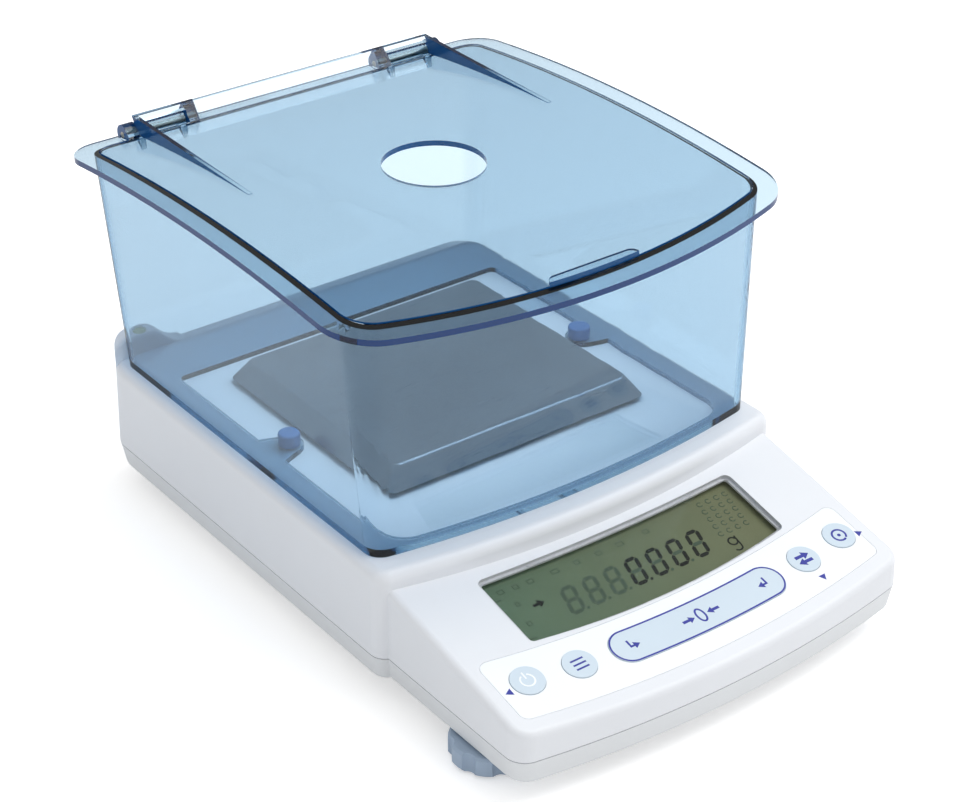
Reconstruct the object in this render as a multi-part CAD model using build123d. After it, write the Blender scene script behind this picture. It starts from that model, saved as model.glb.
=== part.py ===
from build123d import *
import os
from math import cos, radians, sin, sqrt, tan

os.makedirs("parts", exist_ok=True)

# A precision balance with a blue draft shield. X is to the user's right, -Y is
# the front with the keys, +Z is up. The origin lies on the table under the
# middle of the whole outline. All sizes are in millimetres.

# Overall outline
body_width = 206.0
overall_depth = 313.6
rear_overhang = 2.8
bow_radius = 500.0
casing_bottom_z = 10.0
seam_z = 20.9
seam_gap = 0.4
main_top_z = 60.0
console_inset = 4.0
console_length = 82.4
console_front_z = 31.7
console_slope = 12.8

# Casing mouldings
wall = 2.5
wall_draft = 1.2
belly_inset = 1.6
main_front_radius = 7.0
main_rear_radius = 18.0
console_radius = 9.0
top_fillet = 4.5
console_fillet = 3.0
belly_fillet = 1.5
tongue_height = 3.0
tongue_thickness = 1.2
vial_cup_wall = 1.2
moulding_gap = 0.2
contact_gap = 0.1

# Raised housing of the level at the rear left
housing_width = 40.0
housing_height = 10.0
housing_round = 2.0
housing_gap = 1.0
vial_radius = 3.8
vial_height = 4.6
vial_dome = 0.9
vial_from_side = 19.0

# Console: the window, the printed key strip and the keys
window_side_margin = 33.5
window_rear_margin = 3.7
window_front_v = 40.5
window_front_bow = 365.0
window_rear_bow = 1000.0
window_corner = 3.0
window_thickness = 1.6
window_ledge = 1.5
window_gap = 0.15
strip_side_margin = 7.5
strip_height = 31.5
strip_front_v = 7.8
strip_corner = 4.0
strip_thickness = 0.4
key_row_v = 24.9
key_radius = 7.0
key_shift = 2.0
key_side_margin = 18.5
key_pitch = 22.5
key_spacing = 7.4
tare_width = 16.4
key_gap = 0.15
key_rise = 0.4
key_edge = 0.1
key_travel = 0.5
switch_clearance = 0.05
plunger_radius = 2.0
key_flange = 1.2
key_flange_thickness = 1.0

# Display and its board under the console
board_depth = 12.0
board_thickness = 1.6
board_side_margin = 13.5
board_rear_margin = 8.2
board_corner = 2.0
board_screw_inset = 4.0
board_front_v = 9.0
panel_thickness = 2.8
panel_margin = 2.5
panel_depth = 4.3
frame_border = 3.0
switch_size = 6.0
switch_height = 4.3
switch_body_share = 0.75

# Weighing pan and what carries it
pan_width = 121.4
pan_end_margin = 59.85
pan_top_z = 71.3
pan_skirt = 9.0
pan_flare = 5.8
pan_sheet = 1.0
pan_corner = 4.0
pan_edge_round = 1.5
pan_behind_middle = -0.3
carrier_side_margin = 18.7
carrier_end_margin = 18.35
carrier_arm_width = 14.0
carrier_thickness = 3.0
cushion_radius = 5.0
cushion_height = 1.5
spindle_radius = 5.0
hub_radius = 8.0
hub_height = 7.0
hub_roof = 1.0
post_hole_radius = 13.0
collar_height = 2.2
collar_thickness = 1.6

# Force sensor and base frame
cell_end_margin = 54.2
cell_width = 26.0
cell_height = 19.0
cell_bore = 6.5
cell_bore_pitch = 22.0
cell_slit = 2.0
spacer_height = 3.0
spacer_length = 24.0
arm_thickness = 4.0
frame_width = 128.0
frame_end_margin = 48.2
frame_thickness = 5.0
frame_foot_height = 3.5
frame_window = 34.0
frame_window_share = 0.6
frame_screw_inset = 8.0
frame_boss_radius = 5.0
frame_corner = 8.0
vent_count = 8
vent_pitch = 15.0
vent_width = 3.0

# Draft shield
shield_bottom_width = 193.6
shield_top_width = 203.4
shield_rear_gap = 11.4
shield_rear_lean = 5.8
shield_front_margin = 12.2
shield_front_lean = 6.0
shield_front_bow_gain = 7.0
shield_wall = 2.6
shield_seat_gap = 0.2
shield_rim = 2.4
shield_corner = 8.0
shield_top_corner = 15.0
rim_side = 12.0
rim_rear = 31.0
rim_front = 6.0
rim_corner = 12.0
arch_rear_z = 160.3
arch_front_z = 161.9
arch_rise = 6.2
arch_back_shift = 9.35
flange_width = 8.4
flange_thickness = 2.6
flange_corner = 24.0
tab_length = 28.0
tab_reach = 8.5
tab_tip_radius = 6.0
screw_x = 76.2
screw_ahead = 3.1
screw_head_radius = 4.7
screw_head_height = 5.6
screw_radius = 1.95
screw_length = 12.0
running_gap = 0.05

# Shield lid and hinges
lid_thickness = 2.4
lid_ledge = 1.5
lid_gap = 0.4
lid_proud = 0.5
lid_hole_radius = 21.9
lid_flap_half = 77.2
lid_flap_height = 7.5
lid_flap_lean = 5.6
lid_flap_thickness = 2.2
rib_length = 88.0
rib_thickness = 2.0
hinge_inner_x = 47.4
hinge_outer_x = 82.6
hinge_ear = 5.6
hinge_ear_radius = 4.6
hinge_barrel_radius = 3.8
hinge_side_gap = 0.5
ear_relief = 0.7
hinge_pin_radius = 1.5
hinge_z = 161.8
hinge_window_bar = 2.4
finger_lift_width = 44.0
finger_lift_reach = 4.0
finger_lift_rise = 1.6
gusset_thickness = 2.4
gusset_drop = 6.0

# Feet
knob_radius = 16.0
knob_height = 8.8
knob_bottom_z = 1.2
knob_lobes = 8
knob_groove = 3.6
knob_x = 87.0
knob_y_from_front = 42.8
knob_pocket = 1.2
knob_pocket_side = 1.5
stud_radius = 3.9
stud_top_z = 25.0
foot_boss_radius = 8.0
foot_boss_top_z = 24.0
pad_radius = 7.0
pad_height = 2.4
rear_foot_radius = 9.0
rear_foot_x = 80.0
rear_foot_from_rear = 24.0

# Electronics and fasteners
main_board_width = 150.0
main_board_length = 34.0
main_board_z = 24.0
main_board_rear_gap = 1.2
main_board_screw_inset = 5.0
chip_x = -42.0
chip_size = 14.0
chip_height = 2.0
coil_x = -18.0
coil_y = 4.0
coil_size = 10.0
coil_height = 6.0
capacitor_x = -62.0
capacitor_y = -9.0
capacitor_pitch = 9.0
capacitor_radius = 3.2
capacitor_height = 9.0
inlet_x = 58.0
inlet_width = 9.0
inlet_height = 11.0
inlet_length = 14.0
inlet_hole_radius = 3.2
inlet_pin_radius = 1.0
inlet_floor = 4.0
inlet_setback = 0.4
port_x = 16.0
port_width = 31.0
port_height = 12.6
port_length = 12.0
port_mouth_width = 17.0
port_mouth_height = 8.6
port_mouth_length = 4.0
port_mouth_wall = 0.6
port_mouth_corner = 2.0
port_setback = 0.9
port_nut_x = 12.5
port_nut_radius = 2.6
port_nut_length = 2.5
socket_clearance = 0.3
ribbon_x = 28.0
ribbon_width = 10.0
ribbon_thickness = 0.4
ribbon_overlap = 6.0
ribbon_bend = 3.0
ribbon_floor_gap = 1.2
casing_screw_radius = 1.6
casing_screw_head = 3.0
pillar_radius = 4.6
pillar_gap = 0.6
pillar_joint_z = 34.0
pillar_bore_share = 0.7
pillar_screw_share = 0.6
pillar_setback = 18.4
board_screw_radius = 1.2
board_screw_head = 2.4
board_screw_head_height = 1.6
board_boss_radius = 3.2
shield_boss_radius = 4.2
screw_clearance = 0.2

# Values worked out from the sizes above
front_y = -overall_depth / 2
casing_rear_y = overall_depth / 2 - rear_overhang
main_front_y = front_y + console_length
half_body = body_width / 2
half_console = half_body - console_inset
upper_bottom_z = seam_z + seam_gap / 2
lower_top_z = seam_z - seam_gap / 2
main_length = casing_rear_y - main_front_y
pan_y = (casing_rear_y + main_front_y) / 2 + pan_behind_middle
pan_length = main_length - 2 * pan_end_margin
carrier_reach_x = pan_width / 2 - carrier_side_margin
carrier_reach_y = pan_length / 2 - carrier_end_margin
cell_length = main_length - 2 * cell_end_margin
frame_length = main_length - 2 * frame_end_margin
slope_length = console_length / cos(radians(console_slope))
window_width = 2 * (half_console - window_side_margin)
window_height = slope_length - window_rear_margin - window_front_v
strip_width = 2 * (half_console - strip_side_margin)
outer_key_x = half_console - key_side_margin
inner_key_x = outer_key_x - key_pitch
tare_length = 2 * (inner_key_x - key_radius - key_spacing)
board_width = 2 * (half_console - board_side_margin)
board_length = window_front_v + window_height + board_rear_margin - board_front_v
shield_bottom_z = main_top_z + shield_seat_gap
shield_rear_y = casing_rear_y - shield_rear_gap
shield_front_y = main_front_y + shield_front_margin
knob_y = front_y + knob_y_from_front
screw_y = pan_y - screw_ahead
hinge_y = overall_depth / 2 - hinge_ear_radius
flap_y = hinge_y - hinge_barrel_radius - 2 * hinge_side_gap
shield_top_rear_y = shield_rear_y + shield_rear_lean
flange_rear_y = shield_top_rear_y + flange_width - 1.0
shield_top_front_y = shield_front_y - shield_front_lean
flange_front_y = shield_top_front_y - flange_width
arch_middle_y = (flange_rear_y + flange_front_y) / 2 + arch_back_shift
floor_top_z = casing_bottom_z + wall
frame_bottom_z = floor_top_z + frame_foot_height
frame_top_z = frame_bottom_z + frame_thickness
cell_bottom_z = frame_top_z + spacer_height
cell_top_z = cell_bottom_z + cell_height
arm_bottom_z = cell_top_z + spacer_height
arm_top_z = arm_bottom_z + arm_thickness
carrier_top_z = pan_top_z - pan_sheet - cushion_height
spindle_top_z = carrier_top_z - hub_roof
panel_bottom_depth = panel_depth + panel_thickness
reach = 3 * overall_depth

console_plane = Plane(
    origin=(0, front_y, console_front_z),
    x_dir=(1, 0, 0),
    z_dir=(0, -sin(radians(console_slope)), cos(radians(console_slope))),
)


def sag(x, radius=bow_radius):
    """How far an arc of this radius falls back from its apex at x."""
    return radius - sqrt(radius**2 - x**2)


def bowed_outline(half_width, apex_y, rear_y, front_radius, rear_radius, radius=bow_radius):
    """Plan of a body with a bowed front, straight sides and a straight rear."""
    corner_y = apex_y + sag(half_width, radius)
    front = ThreePointArc((-half_width, corner_y), (0, apex_y), (half_width, corner_y))
    sides = Polyline(
        (half_width, corner_y), (half_width, rear_y), (-half_width, rear_y), (-half_width, corner_y)
    )
    plan = make_face(Curve() + [front, sides])
    plan = fillet(plan.vertices().sort_by(Axis.Y)[:2], front_radius)
    return fillet(plan.vertices().sort_by(Axis.Y)[-2:], rear_radius)


def bowed_window(half_width, apex_v, height, corner, front_radius=bow_radius, rear_radius=bow_radius):
    """Plan of a strip whose front and rear edges both bow towards the front."""
    low = apex_v + sag(half_width, front_radius)
    high = apex_v + height + sag(half_width, rear_radius)
    front = ThreePointArc((-half_width, low), (0, apex_v), (half_width, low))
    rear = ThreePointArc((half_width, high), (0, apex_v + height), (-half_width, high))
    right = Line((half_width, low), (half_width, high))
    left = Line((-half_width, high), (-half_width, low))
    plan = make_face(Curve() + [front, right, rear, left])
    return fillet(plan.vertices(), corner)


def window_plan(inset):
    """Plan of the display window, a distance inside its rebate."""
    return bowed_window(
        window_width / 2 - inset,
        window_front_v + inset,
        window_height - 2 * inset,
        window_corner - inset,
        window_front_bow,
        window_rear_bow,
    )


def strip_plan(inset):
    """Plan of the printed key strip, a distance inside its recess."""
    return bowed_window(
        strip_width / 2 - inset, strip_front_v + inset, strip_height - 2 * inset, strip_corner - inset
    )


def cylinder_z(x, y, z, radius, height):
    """Upright cylinder that stands on the height z."""
    return Pos(x, y, z) * Cylinder(radius, height, align=(Align.CENTER, Align.CENTER, Align.MIN))


def block(x, y, z, width, length, height):
    """Block centred in x and y that stands on the height z."""
    return Pos(x, y, z) * Box(width, length, height, align=(Align.CENTER, Align.CENTER, Align.MIN))


def cylinder_x(x, y, z, radius, length):
    """Level cylinder along X, centred on its middle."""
    return Pos(x, y, z) * Rot(0, 90, 0) * Cylinder(radius, length)


def side_slab(points, x, thickness):
    """Flat plate across X from points given as (y, z), centred on x."""
    plan = Plane.YZ.offset(x - thickness / 2) * make_face(Polyline(*points, close=True))
    return extrude(plan, thickness)


def on_console(u, v, depth=0.0):
    """Place on the sloping console: u across, v up the slope, depth below its face."""
    return console_plane * Pos(u, v, -depth)


# Casing

def main_block(inset, low_z, high_z, low_inset, high_inset):
    """Lofted body of the main casing, a number of millimetres inside its outline."""
    sections = []
    for z, extra in ((low_z, low_inset), (high_z, high_inset)):
        total = inset + extra
        plan = bowed_outline(
            half_body - total,
            main_front_y + total,
            casing_rear_y - total,
            main_front_radius - inset,
            main_rear_radius - inset,
        )
        sections.append(Pos(0, 0, z) * plan)
    return loft(sections, ruled=True)


def console_block(inset, low_z, high_z, low_inset, high_inset):
    """Lofted body of the console, which runs back into the main casing."""
    sections = []
    for z, extra in ((low_z, low_inset), (high_z, high_inset)):
        total = inset + extra
        plan = bowed_outline(
            half_console - total,
            front_y + total,
            main_front_y + console_length / 3,
            console_radius - inset,
            main_front_radius,
        )
        sections.append(Pos(0, 0, z) * plan)
    return loft(sections, ruled=True)


def draft_at(z):
    """How far a drafted wall has leant in at a height above the seam."""
    return (z - seam_z) * tan(radians(wall_draft))


def casing_form(inset, low_z):
    """Outer form of the upper casing, or its cavity when an inset is given."""
    main_high = main_top_z - inset
    main = main_block(inset, low_z, main_high, draft_at(low_z), draft_at(main_high))
    main = fillet(main.faces().sort_by(Axis.Z)[-1].edges(), top_fillet - inset / 2)
    console_high = main_top_z - wall
    console = console_block(inset, low_z, console_high, draft_at(low_z), draft_at(console_high))
    above = on_console(0, 0, inset) * Box(reach, reach, reach, align=(Align.CENTER, Align.CENTER, Align.MIN))
    console = console - above
    slope = console.faces().filter_by(lambda face: face.normal_at().dot(console_plane.z_dir) > 0.999)
    console = fillet(slope.sort_by(Axis.Z)[-1].edges(), console_fillet - inset / 2)
    return main + console


def level_housing():
    """Raised rounded housing on the rear left corner, which carries the level."""
    side_x = -(half_body - draft_at(main_top_z))
    inner_x = side_x + housing_width
    top_z = main_top_z + housing_height
    quarter = housing_width / 4
    rise = Bezier(
        (inner_x, main_top_z),
        (inner_x - quarter, main_top_z),
        (inner_x - quarter, top_z),
        (inner_x - 2 * quarter, top_z),
    )
    top = Line((inner_x - 2 * quarter, top_z), (side_x + quarter, top_z))
    fall = Bezier(
        (side_x + quarter, top_z),
        (side_x + quarter / 4, top_z),
        (side_x, top_z - quarter / 3),
        (side_x, main_top_z),
    )
    root_z = main_top_z - top_fillet - 1
    foot = Polyline((side_x, main_top_z), (side_x, root_z), (inner_x, root_z), (inner_x, main_top_z))
    profile = make_face(Curve() + [rise, top, fall, foot])
    depth = shield_rear_gap - housing_gap
    body = extrude(Plane.XZ.offset(-casing_rear_y) * profile, depth)
    limit = main_block(0, main_top_z - 2 * top_fillet, top_z + 1, draft_at(main_top_z), draft_at(main_top_z))
    body = body & limit
    front_y_here = casing_rear_y - depth
    crown = body.edges().filter_by(lambda edge: edge.center().Z > main_top_z + housing_height / 3)
    crown = crown.filter_by(lambda edge: abs(edge.center().Y - front_y_here) < 0.01)
    return fillet(crown, housing_round)


def vial_place():
    """Centre of the level on top of its housing."""
    return (-half_body + vial_from_side, casing_rear_y - (shield_rear_gap - housing_gap) / 2)


def roof_z(y):
    """Height of the outer roof of the casing over a place along Y."""
    if y > main_front_y:
        return main_top_z
    return console_front_z + (y - front_y) * tan(radians(console_slope))


def screw_places():
    """The six casing screws, in pairs from front to rear."""
    front_pair_y = main_front_y - pillar_setback
    rows = (front_pair_y, pan_y, casing_rear_y - main_rear_radius)
    inset = wall + pillar_gap + pillar_radius
    columns = (half_console - inset, half_body - inset, half_body - inset - pillar_gap)
    return [(side * x, y) for x, y in zip(columns, rows) for side in (-1, 1)]


def display_screw_places():
    """The four screws of the display board, in console coordinates."""
    low = board_front_v + board_screw_inset
    high = board_front_v + board_length - board_screw_inset
    half = board_width / 2 - board_screw_inset
    return [(side * half, v) for v in (low + sag(half), high) for side in (-1, 1)]


def key_places():
    """Centre of each key on the console, in console coordinates."""
    return {
        "power_key": (key_shift - outer_key_x, key_row_v + sag(outer_key_x)),
        "menu_key": (key_shift - inner_key_x, key_row_v + sag(inner_key_x)),
        "tare_key": (key_shift, key_row_v),
        "unit_key": (key_shift + inner_key_x, key_row_v + sag(inner_key_x)),
        "print_key": (key_shift + outer_key_x, key_row_v + sag(outer_key_x)),
    }


def key_plan(name, grow=0.0):
    """Outline of a key at its place: a disc, or the long bowed tare key."""
    u, v = key_places()[name]
    if name != "tare_key":
        return Pos(u, v) * Circle(key_radius + grow)
    end = tare_length / 2 - tare_width / 2
    spine = ThreePointArc((u - end, v + sag(end)), (u, v), (u + end, v + sag(end)))
    return SlotArc(spine, tare_width + 2 * grow)


def upper_casing():
    """Moulded upper casing with its bosses, windows and sockets."""
    outer = casing_form(0, upper_bottom_z) + level_housing()
    body = outer - casing_form(wall, upper_bottom_z - 1)
    for x, y in screw_places():
        roof = roof_z(y)
        bore = (roof - wall - pillar_joint_z) * pillar_bore_share
        body += cylinder_z(x, y, pillar_joint_z, pillar_radius, roof - wall / 2 - pillar_joint_z)
        body -= cylinder_z(x, y, pillar_joint_z, casing_screw_radius, bore)
    for u, v in display_screw_places():
        place = on_console(u, v, board_depth)
        body += place * cylinder_z(0, 0, 0, board_boss_radius, board_depth - wall / 2)
        body -= place * cylinder_z(0, 0, 0, board_screw_radius, board_depth - 1.5 * wall)
    for side in (-1, 1):
        x, low = side * screw_x, main_top_z - screw_length
        body += cylinder_z(x, screw_y, low, shield_boss_radius, screw_length - wall / 2)
        body -= cylinder_z(x, screw_y, low - 1, screw_radius + running_gap, screw_length + 2)
    collar_radius = post_hole_radius + collar_thickness
    body += cylinder_z(0, pan_y, main_top_z - wall / 2, collar_radius, wall / 2 + collar_height)
    body -= cylinder_z(0, pan_y, main_top_z - 2 * wall, post_hole_radius, 2 * wall + collar_height + 1)
    vial_x, vial_y = vial_place()
    cup_radius = vial_radius + vial_cup_wall
    body += cylinder_z(vial_x, vial_y, main_top_z - wall, cup_radius, wall + housing_height / 2)
    vial_low = main_top_z + housing_height - vial_height
    body -= cylinder_z(vial_x, vial_y, vial_low, vial_radius + contact_gap, 2 * vial_height)
    body -= on_console(0, 0, window_thickness) * extrude(window_plan(0), 3 * window_thickness)
    body -= on_console(0, 0, 3 * wall) * extrude(window_plan(window_ledge), 4 * wall)
    body -= on_console(0, 0, strip_thickness) * extrude(strip_plan(0), 3 * strip_thickness)
    for name in key_places():
        body -= on_console(0, 0, 2 * wall) * extrude(key_plan(name, key_gap), 3 * wall)
    inlet_z = main_board_z + board_thickness + inlet_height / 2
    grow = 2 * socket_clearance
    body -= Pos(inlet_x, casing_rear_y, inlet_z) * Box(inlet_width + grow, 4 * wall, inlet_height + grow)
    port_z = main_board_z + board_thickness + port_height / 2
    body -= Pos(port_x, casing_rear_y, port_z) * Box(port_width + grow, 4 * wall, port_height + grow)
    return body


def lower_casing():
    """Moulded tray with a tongue into the upper casing, pillars and foot pockets."""
    main = main_block(0, casing_bottom_z, lower_top_z, belly_inset, 0)
    console = console_block(0, casing_bottom_z, lower_top_z, belly_inset, 0)
    outer = main + console
    belly = outer.faces().sort_by(Axis.Z)[0].outer_wire().edges()
    outer = fillet(belly, belly_fillet)
    inner = main_block(wall, floor_top_z, lower_top_z + 1, belly_inset, 0)
    inner += console_block(wall, floor_top_z, lower_top_z + 1, belly_inset, 0)
    body = outer - inner
    tongue_out = wall + moulding_gap
    tongue_low = lower_top_z - tongue_height
    tongue_high = upper_bottom_z + tongue_height
    ring = main_block(tongue_out, tongue_low, tongue_high, 0, 0)
    ring += console_block(tongue_out, tongue_low, tongue_high, 0, 0)
    tongue_in = tongue_out + tongue_thickness
    hollow = main_block(tongue_in, tongue_low - 1, tongue_high + 1, 0, 0)
    hollow += console_block(tongue_in, tongue_low - 1, tongue_high + 1, 0, 0)
    tongue = ring - hollow
    port_span = inlet_x - port_x + port_width
    tongue -= block(
        (inlet_x + port_x) / 2, casing_rear_y, lower_top_z, port_span, 8 * wall, 3 * tongue_height
    )
    body += tongue
    for side in (-1, 1):
        x, pocket_z = side * knob_x, casing_bottom_z + knob_pocket
        body += cylinder_z(x, knob_y, pocket_z, foot_boss_radius, foot_boss_top_z - pocket_z)
        roof = cylinder_z(x, knob_y, pocket_z, knob_radius + knob_pocket_side + wall, wall)
        within = console_block(wall / 2, casing_bottom_z, lower_top_z, belly_inset, 0)
        body += roof & within
        body -= cylinder_z(x, knob_y, casing_bottom_z - 1, knob_radius + knob_pocket_side, knob_pocket + 1)
        body -= cylinder_z(x, knob_y, casing_bottom_z - 1, stud_radius + running_gap, stud_top_z)
    root_z = casing_bottom_z + wall / 2
    for x, y in screw_places():
        body += cylinder_z(x, y, root_z, pillar_radius, pillar_joint_z - root_z)
        body -= cylinder_z(x, y, casing_bottom_z - 1, casing_screw_head + screw_clearance, wall + 1)
        body -= cylinder_z(x, y, casing_bottom_z - 1, casing_screw_radius + screw_clearance, pillar_joint_z)
    for x, y in main_board_places():
        body += cylinder_z(x, y, root_z, board_boss_radius, main_board_z - root_z)
        body -= cylinder_z(x, y, floor_top_z, board_screw_radius, main_board_z)
    for x, y in frame_places():
        body += cylinder_z(x, y, root_z, frame_boss_radius, frame_bottom_z - root_z)
        body -= cylinder_z(x, y, floor_top_z, board_screw_radius, main_board_z)
    for slot in range(vent_count):
        x = (slot - (vent_count - 1) / 2) * vent_pitch
        body -= block(x, pan_y, casing_bottom_z - 1, vent_width, frame_window, wall + 2)
    return body


def level_vial():
    """Small round level: a cup with a domed glass top."""
    x, y = vial_place()
    low = main_top_z + housing_height - vial_height
    cup = cylinder_z(x, y, low, vial_radius, vial_height - vial_dome)
    sphere_radius = (vial_radius**2 + vial_dome**2) / (2 * vial_dome)
    top = main_top_z + housing_height
    dome = Pos(x, y, top - sphere_radius) * Sphere(sphere_radius)
    dome &= cylinder_z(x, y, top - vial_dome, vial_radius, vial_dome)
    return cup + dome


# Console pieces

def display_window():
    """Clear window that drops into the rebate of the console."""
    return on_console(0, 0, window_thickness) * extrude(window_plan(window_gap), window_thickness)


def key_strip():
    """Printed film with a hole for each key."""
    plan = strip_plan(window_gap)
    for name in key_places():
        plan -= key_plan(name, key_gap)
    return on_console(0, 0, strip_thickness) * extrude(plan, strip_thickness)


def key(name):
    """Key cap proud of the film, held by a flange under the console, with a plunger."""
    u, v = key_places()[name]
    flange_depth = wall + contact_gap + key_flange_thickness
    cap = Pos(0, 0, -flange_depth) * extrude(key_plan(name), flange_depth + key_rise)
    flange = Pos(0, 0, -flange_depth) * extrude(key_plan(name, key_flange), key_flange_thickness)
    reach_down = board_depth - switch_height - key_travel - switch_clearance
    plunger = Pos(u, v, -reach_down) * Cylinder(
        plunger_radius, reach_down, align=(Align.CENTER, Align.CENTER, Align.MIN)
    )
    shape = cap + flange + plunger
    return console_plane * chamfer(shape.faces().sort_by(Axis.Z)[-1].edges(), key_edge)


def display_plan(grow):
    """Outline of the display panel, grown by an amount on each side."""
    width = window_width + 2 * panel_margin + 2 * grow
    height = window_height + sag(window_width / 2, window_rear_bow)
    centre_v = window_front_v + height / 2
    height += 2 * grow
    return Pos(0, centre_v) * Rectangle(width, height)


def display_panel():
    """Liquid crystal cell under the window."""
    return on_console(0, 0, panel_bottom_depth) * extrude(display_plan(0), panel_thickness)


def display_frame():
    """Frame that stands on the board and holds the panel at its rim."""
    rise = board_depth - panel_depth
    outer = extrude(display_plan(frame_border), rise)
    pocket = Pos(0, 0, board_depth - panel_bottom_depth) * extrude(display_plan(moulding_gap), rise)
    hollow = extrude(display_plan(-frame_border), rise)
    return on_console(0, 0, board_depth) * (outer - pocket - hollow)


def display_board():
    """Circuit board under the console."""
    depth = board_depth + board_thickness
    plan = bowed_window(
        board_width / 2, board_front_v, board_length - sag(board_width / 2), board_corner
    )
    body = on_console(0, 0, depth) * extrude(plan, board_thickness)
    hole = cylinder_z(0, 0, 0, board_screw_radius + screw_clearance, board_thickness + 2)
    for u, v in display_screw_places():
        body -= on_console(u, v, depth + 1) * hole
    return body


def key_switches():
    """Five push switches on the board, one under each plunger."""
    switches = []
    for u, v in key_places().values():
        body = block(0, 0, 0, switch_size, switch_size, switch_height * switch_body_share)
        body += cylinder_z(0, 0, 0, switch_size / 4, switch_height)
        switches.append(on_console(u, v, board_depth) * body)
    return switches


def display_screws():
    """Four screws that hold the display board to the console bosses."""
    screws = []
    for u, v in display_screw_places():
        depth = board_depth + board_thickness
        shank = cylinder_z(0, 0, 0, board_screw_radius, board_thickness + 4)
        head = cylinder_z(0, 0, -board_screw_head_height, board_screw_head, board_screw_head_height)
        screws.append(on_console(u, v, depth) * (shank + head))
    return screws


# Pan, carrier, sensor and frame

def pan_block(inset, low_z, high_z):
    """Flared block with round corners, the form of the pan or its hollow."""
    sections = []
    for z, flare in ((low_z, pan_flare), (high_z, 0.0)):
        width = pan_width + 2 * flare - 2 * inset
        length = pan_length + 2 * flare - 2 * inset
        sections.append(Pos(0, pan_y, z) * RectangleRounded(width, length, pan_corner - inset))
    return loft(sections, ruled=True)


def weighing_pan():
    """Pressed sheet pan with a rounded rim and a flared skirt."""
    outer = pan_block(0, pan_top_z - pan_skirt, pan_top_z)
    outer = fillet(outer.faces().sort_by(Axis.Z)[-1].edges(), pan_edge_round)
    return outer - pan_block(pan_sheet, pan_top_z - pan_skirt - 0.01, pan_top_z - pan_sheet)


def pan_carrier():
    """Cross-shaped carrier with a hub that sits on the spindle."""
    low = carrier_top_z - carrier_thickness
    arms = block(0, pan_y, low, 2 * carrier_reach_x, carrier_arm_width, carrier_thickness)
    arms += block(0, pan_y, low, carrier_arm_width, 2 * carrier_reach_y, carrier_thickness)
    corner = fillet(arms.edges().filter_by(Axis.Z), carrier_arm_width / 2 - 0.5)
    hub = cylinder_z(0, pan_y, low - hub_height + carrier_thickness, hub_radius, hub_height)
    body = corner + hub
    bore_low = low - hub_height
    return body - cylinder_z(0, pan_y, bore_low, spindle_radius + running_gap, spindle_top_z - bore_low)


def pan_cushions():
    """Four rubber cushions between the carrier and the pan."""
    reach_x = carrier_reach_x - carrier_arm_width / 2
    reach_y = carrier_reach_y - carrier_arm_width / 2
    places = [(reach_x, 0), (-reach_x, 0), (0, reach_y), (0, -reach_y)]
    return [cylinder_z(x, pan_y + y, carrier_top_z, cushion_radius, cushion_height) for x, y in places]


def carrier_arm():
    """Arm from the free end of the sensor to the spindle under the pan."""
    far_y = pan_y + cell_length / 2
    length = cell_length / 2 + hub_radius
    plate = block(0, far_y - length / 2, arm_bottom_z, cell_width, length, arm_thickness)
    plate = fillet(plate.edges().filter_by(Axis.Z), 4)
    spindle = cylinder_z(0, pan_y, arm_top_z, spindle_radius, spindle_top_z - arm_top_z)
    return plate + spindle


def load_cell():
    """Bending beam with two joined bores, which lets one end sink level."""
    body = block(0, pan_y, cell_bottom_z, cell_width, cell_length, cell_height)
    middle_z = cell_bottom_z + cell_height / 2
    for side in (-1, 1):
        place = Pos(0, pan_y + side * cell_bore_pitch, middle_z) * Rot(0, 90, 0)
        body -= place * Cylinder(cell_bore, cell_width + 2)
    return body - Pos(0, pan_y, middle_z) * Box(cell_width + 2, 2 * cell_bore_pitch, cell_slit)


def load_cell_spacers():
    """Plates that hold the beam clear of the frame and of the arm."""
    end = cell_length / 2 - spacer_length / 2
    lower = block(0, pan_y - end, frame_top_z, cell_width, spacer_length, spacer_height)
    upper = block(0, pan_y + end, cell_top_z, cell_width, spacer_length, spacer_height)
    return [lower, upper]


def sensor_bolts():
    """Two bolts through each end of the beam."""
    bolts = []
    end = cell_length / 2 - spacer_length / 2
    for side in (-1, 1):
        x = side * cell_width / 4
        down = cylinder_z(x, pan_y - end, cell_top_z, 4.0, 3.0)
        up = cylinder_z(x, pan_y + end, arm_top_z, 4.0, 2.4)
        bolts += [down, up]
    return bolts


def frame_places():
    """The four feet of the base frame."""
    half_x = frame_width / 2 - frame_screw_inset
    half_y = frame_length / 2 - frame_screw_inset
    return [(i * half_x, pan_y + j * half_y) for i in (-1, 1) for j in (-1, 1)]


def base_frame():
    """Cast frame under the sensor: a plate with a window each side and a rim."""
    body = block(0, pan_y, frame_bottom_z, frame_width, frame_length, frame_thickness)
    body = fillet(body.edges().filter_by(Axis.Z), frame_corner)
    low_z, depth = frame_bottom_z - 1, frame_thickness + 2
    for side in (-1, 1):
        x, length = side * frame_width / 4, frame_length * frame_window_share
        hole = block(x, pan_y, low_z, frame_window, length, depth)
        body -= fillet(hole.edges().filter_by(Axis.Z), frame_corner / 2)
    for x, y in frame_places():
        body -= cylinder_z(x, y, low_z, board_screw_radius + screw_clearance, depth)
    return body


def frame_screws():
    """Screws that hold the frame down on the lower casing."""
    screws = []
    for x, y in frame_places():
        head = cylinder_z(x, y, frame_top_z, board_screw_head, board_screw_head_height)
        shank = cylinder_z(x, y, frame_bottom_z - 2, board_screw_radius, frame_thickness + 2.5)
        screws.append(head + shank)
    return screws


# Draft shield and lid

def shield_half(z):
    """Half width of the tapered shield at a height."""
    share = (z - shield_bottom_z) / (arch_rear_z - shield_bottom_z)
    return (shield_bottom_width + (shield_top_width - shield_bottom_width) * share) / 2


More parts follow.
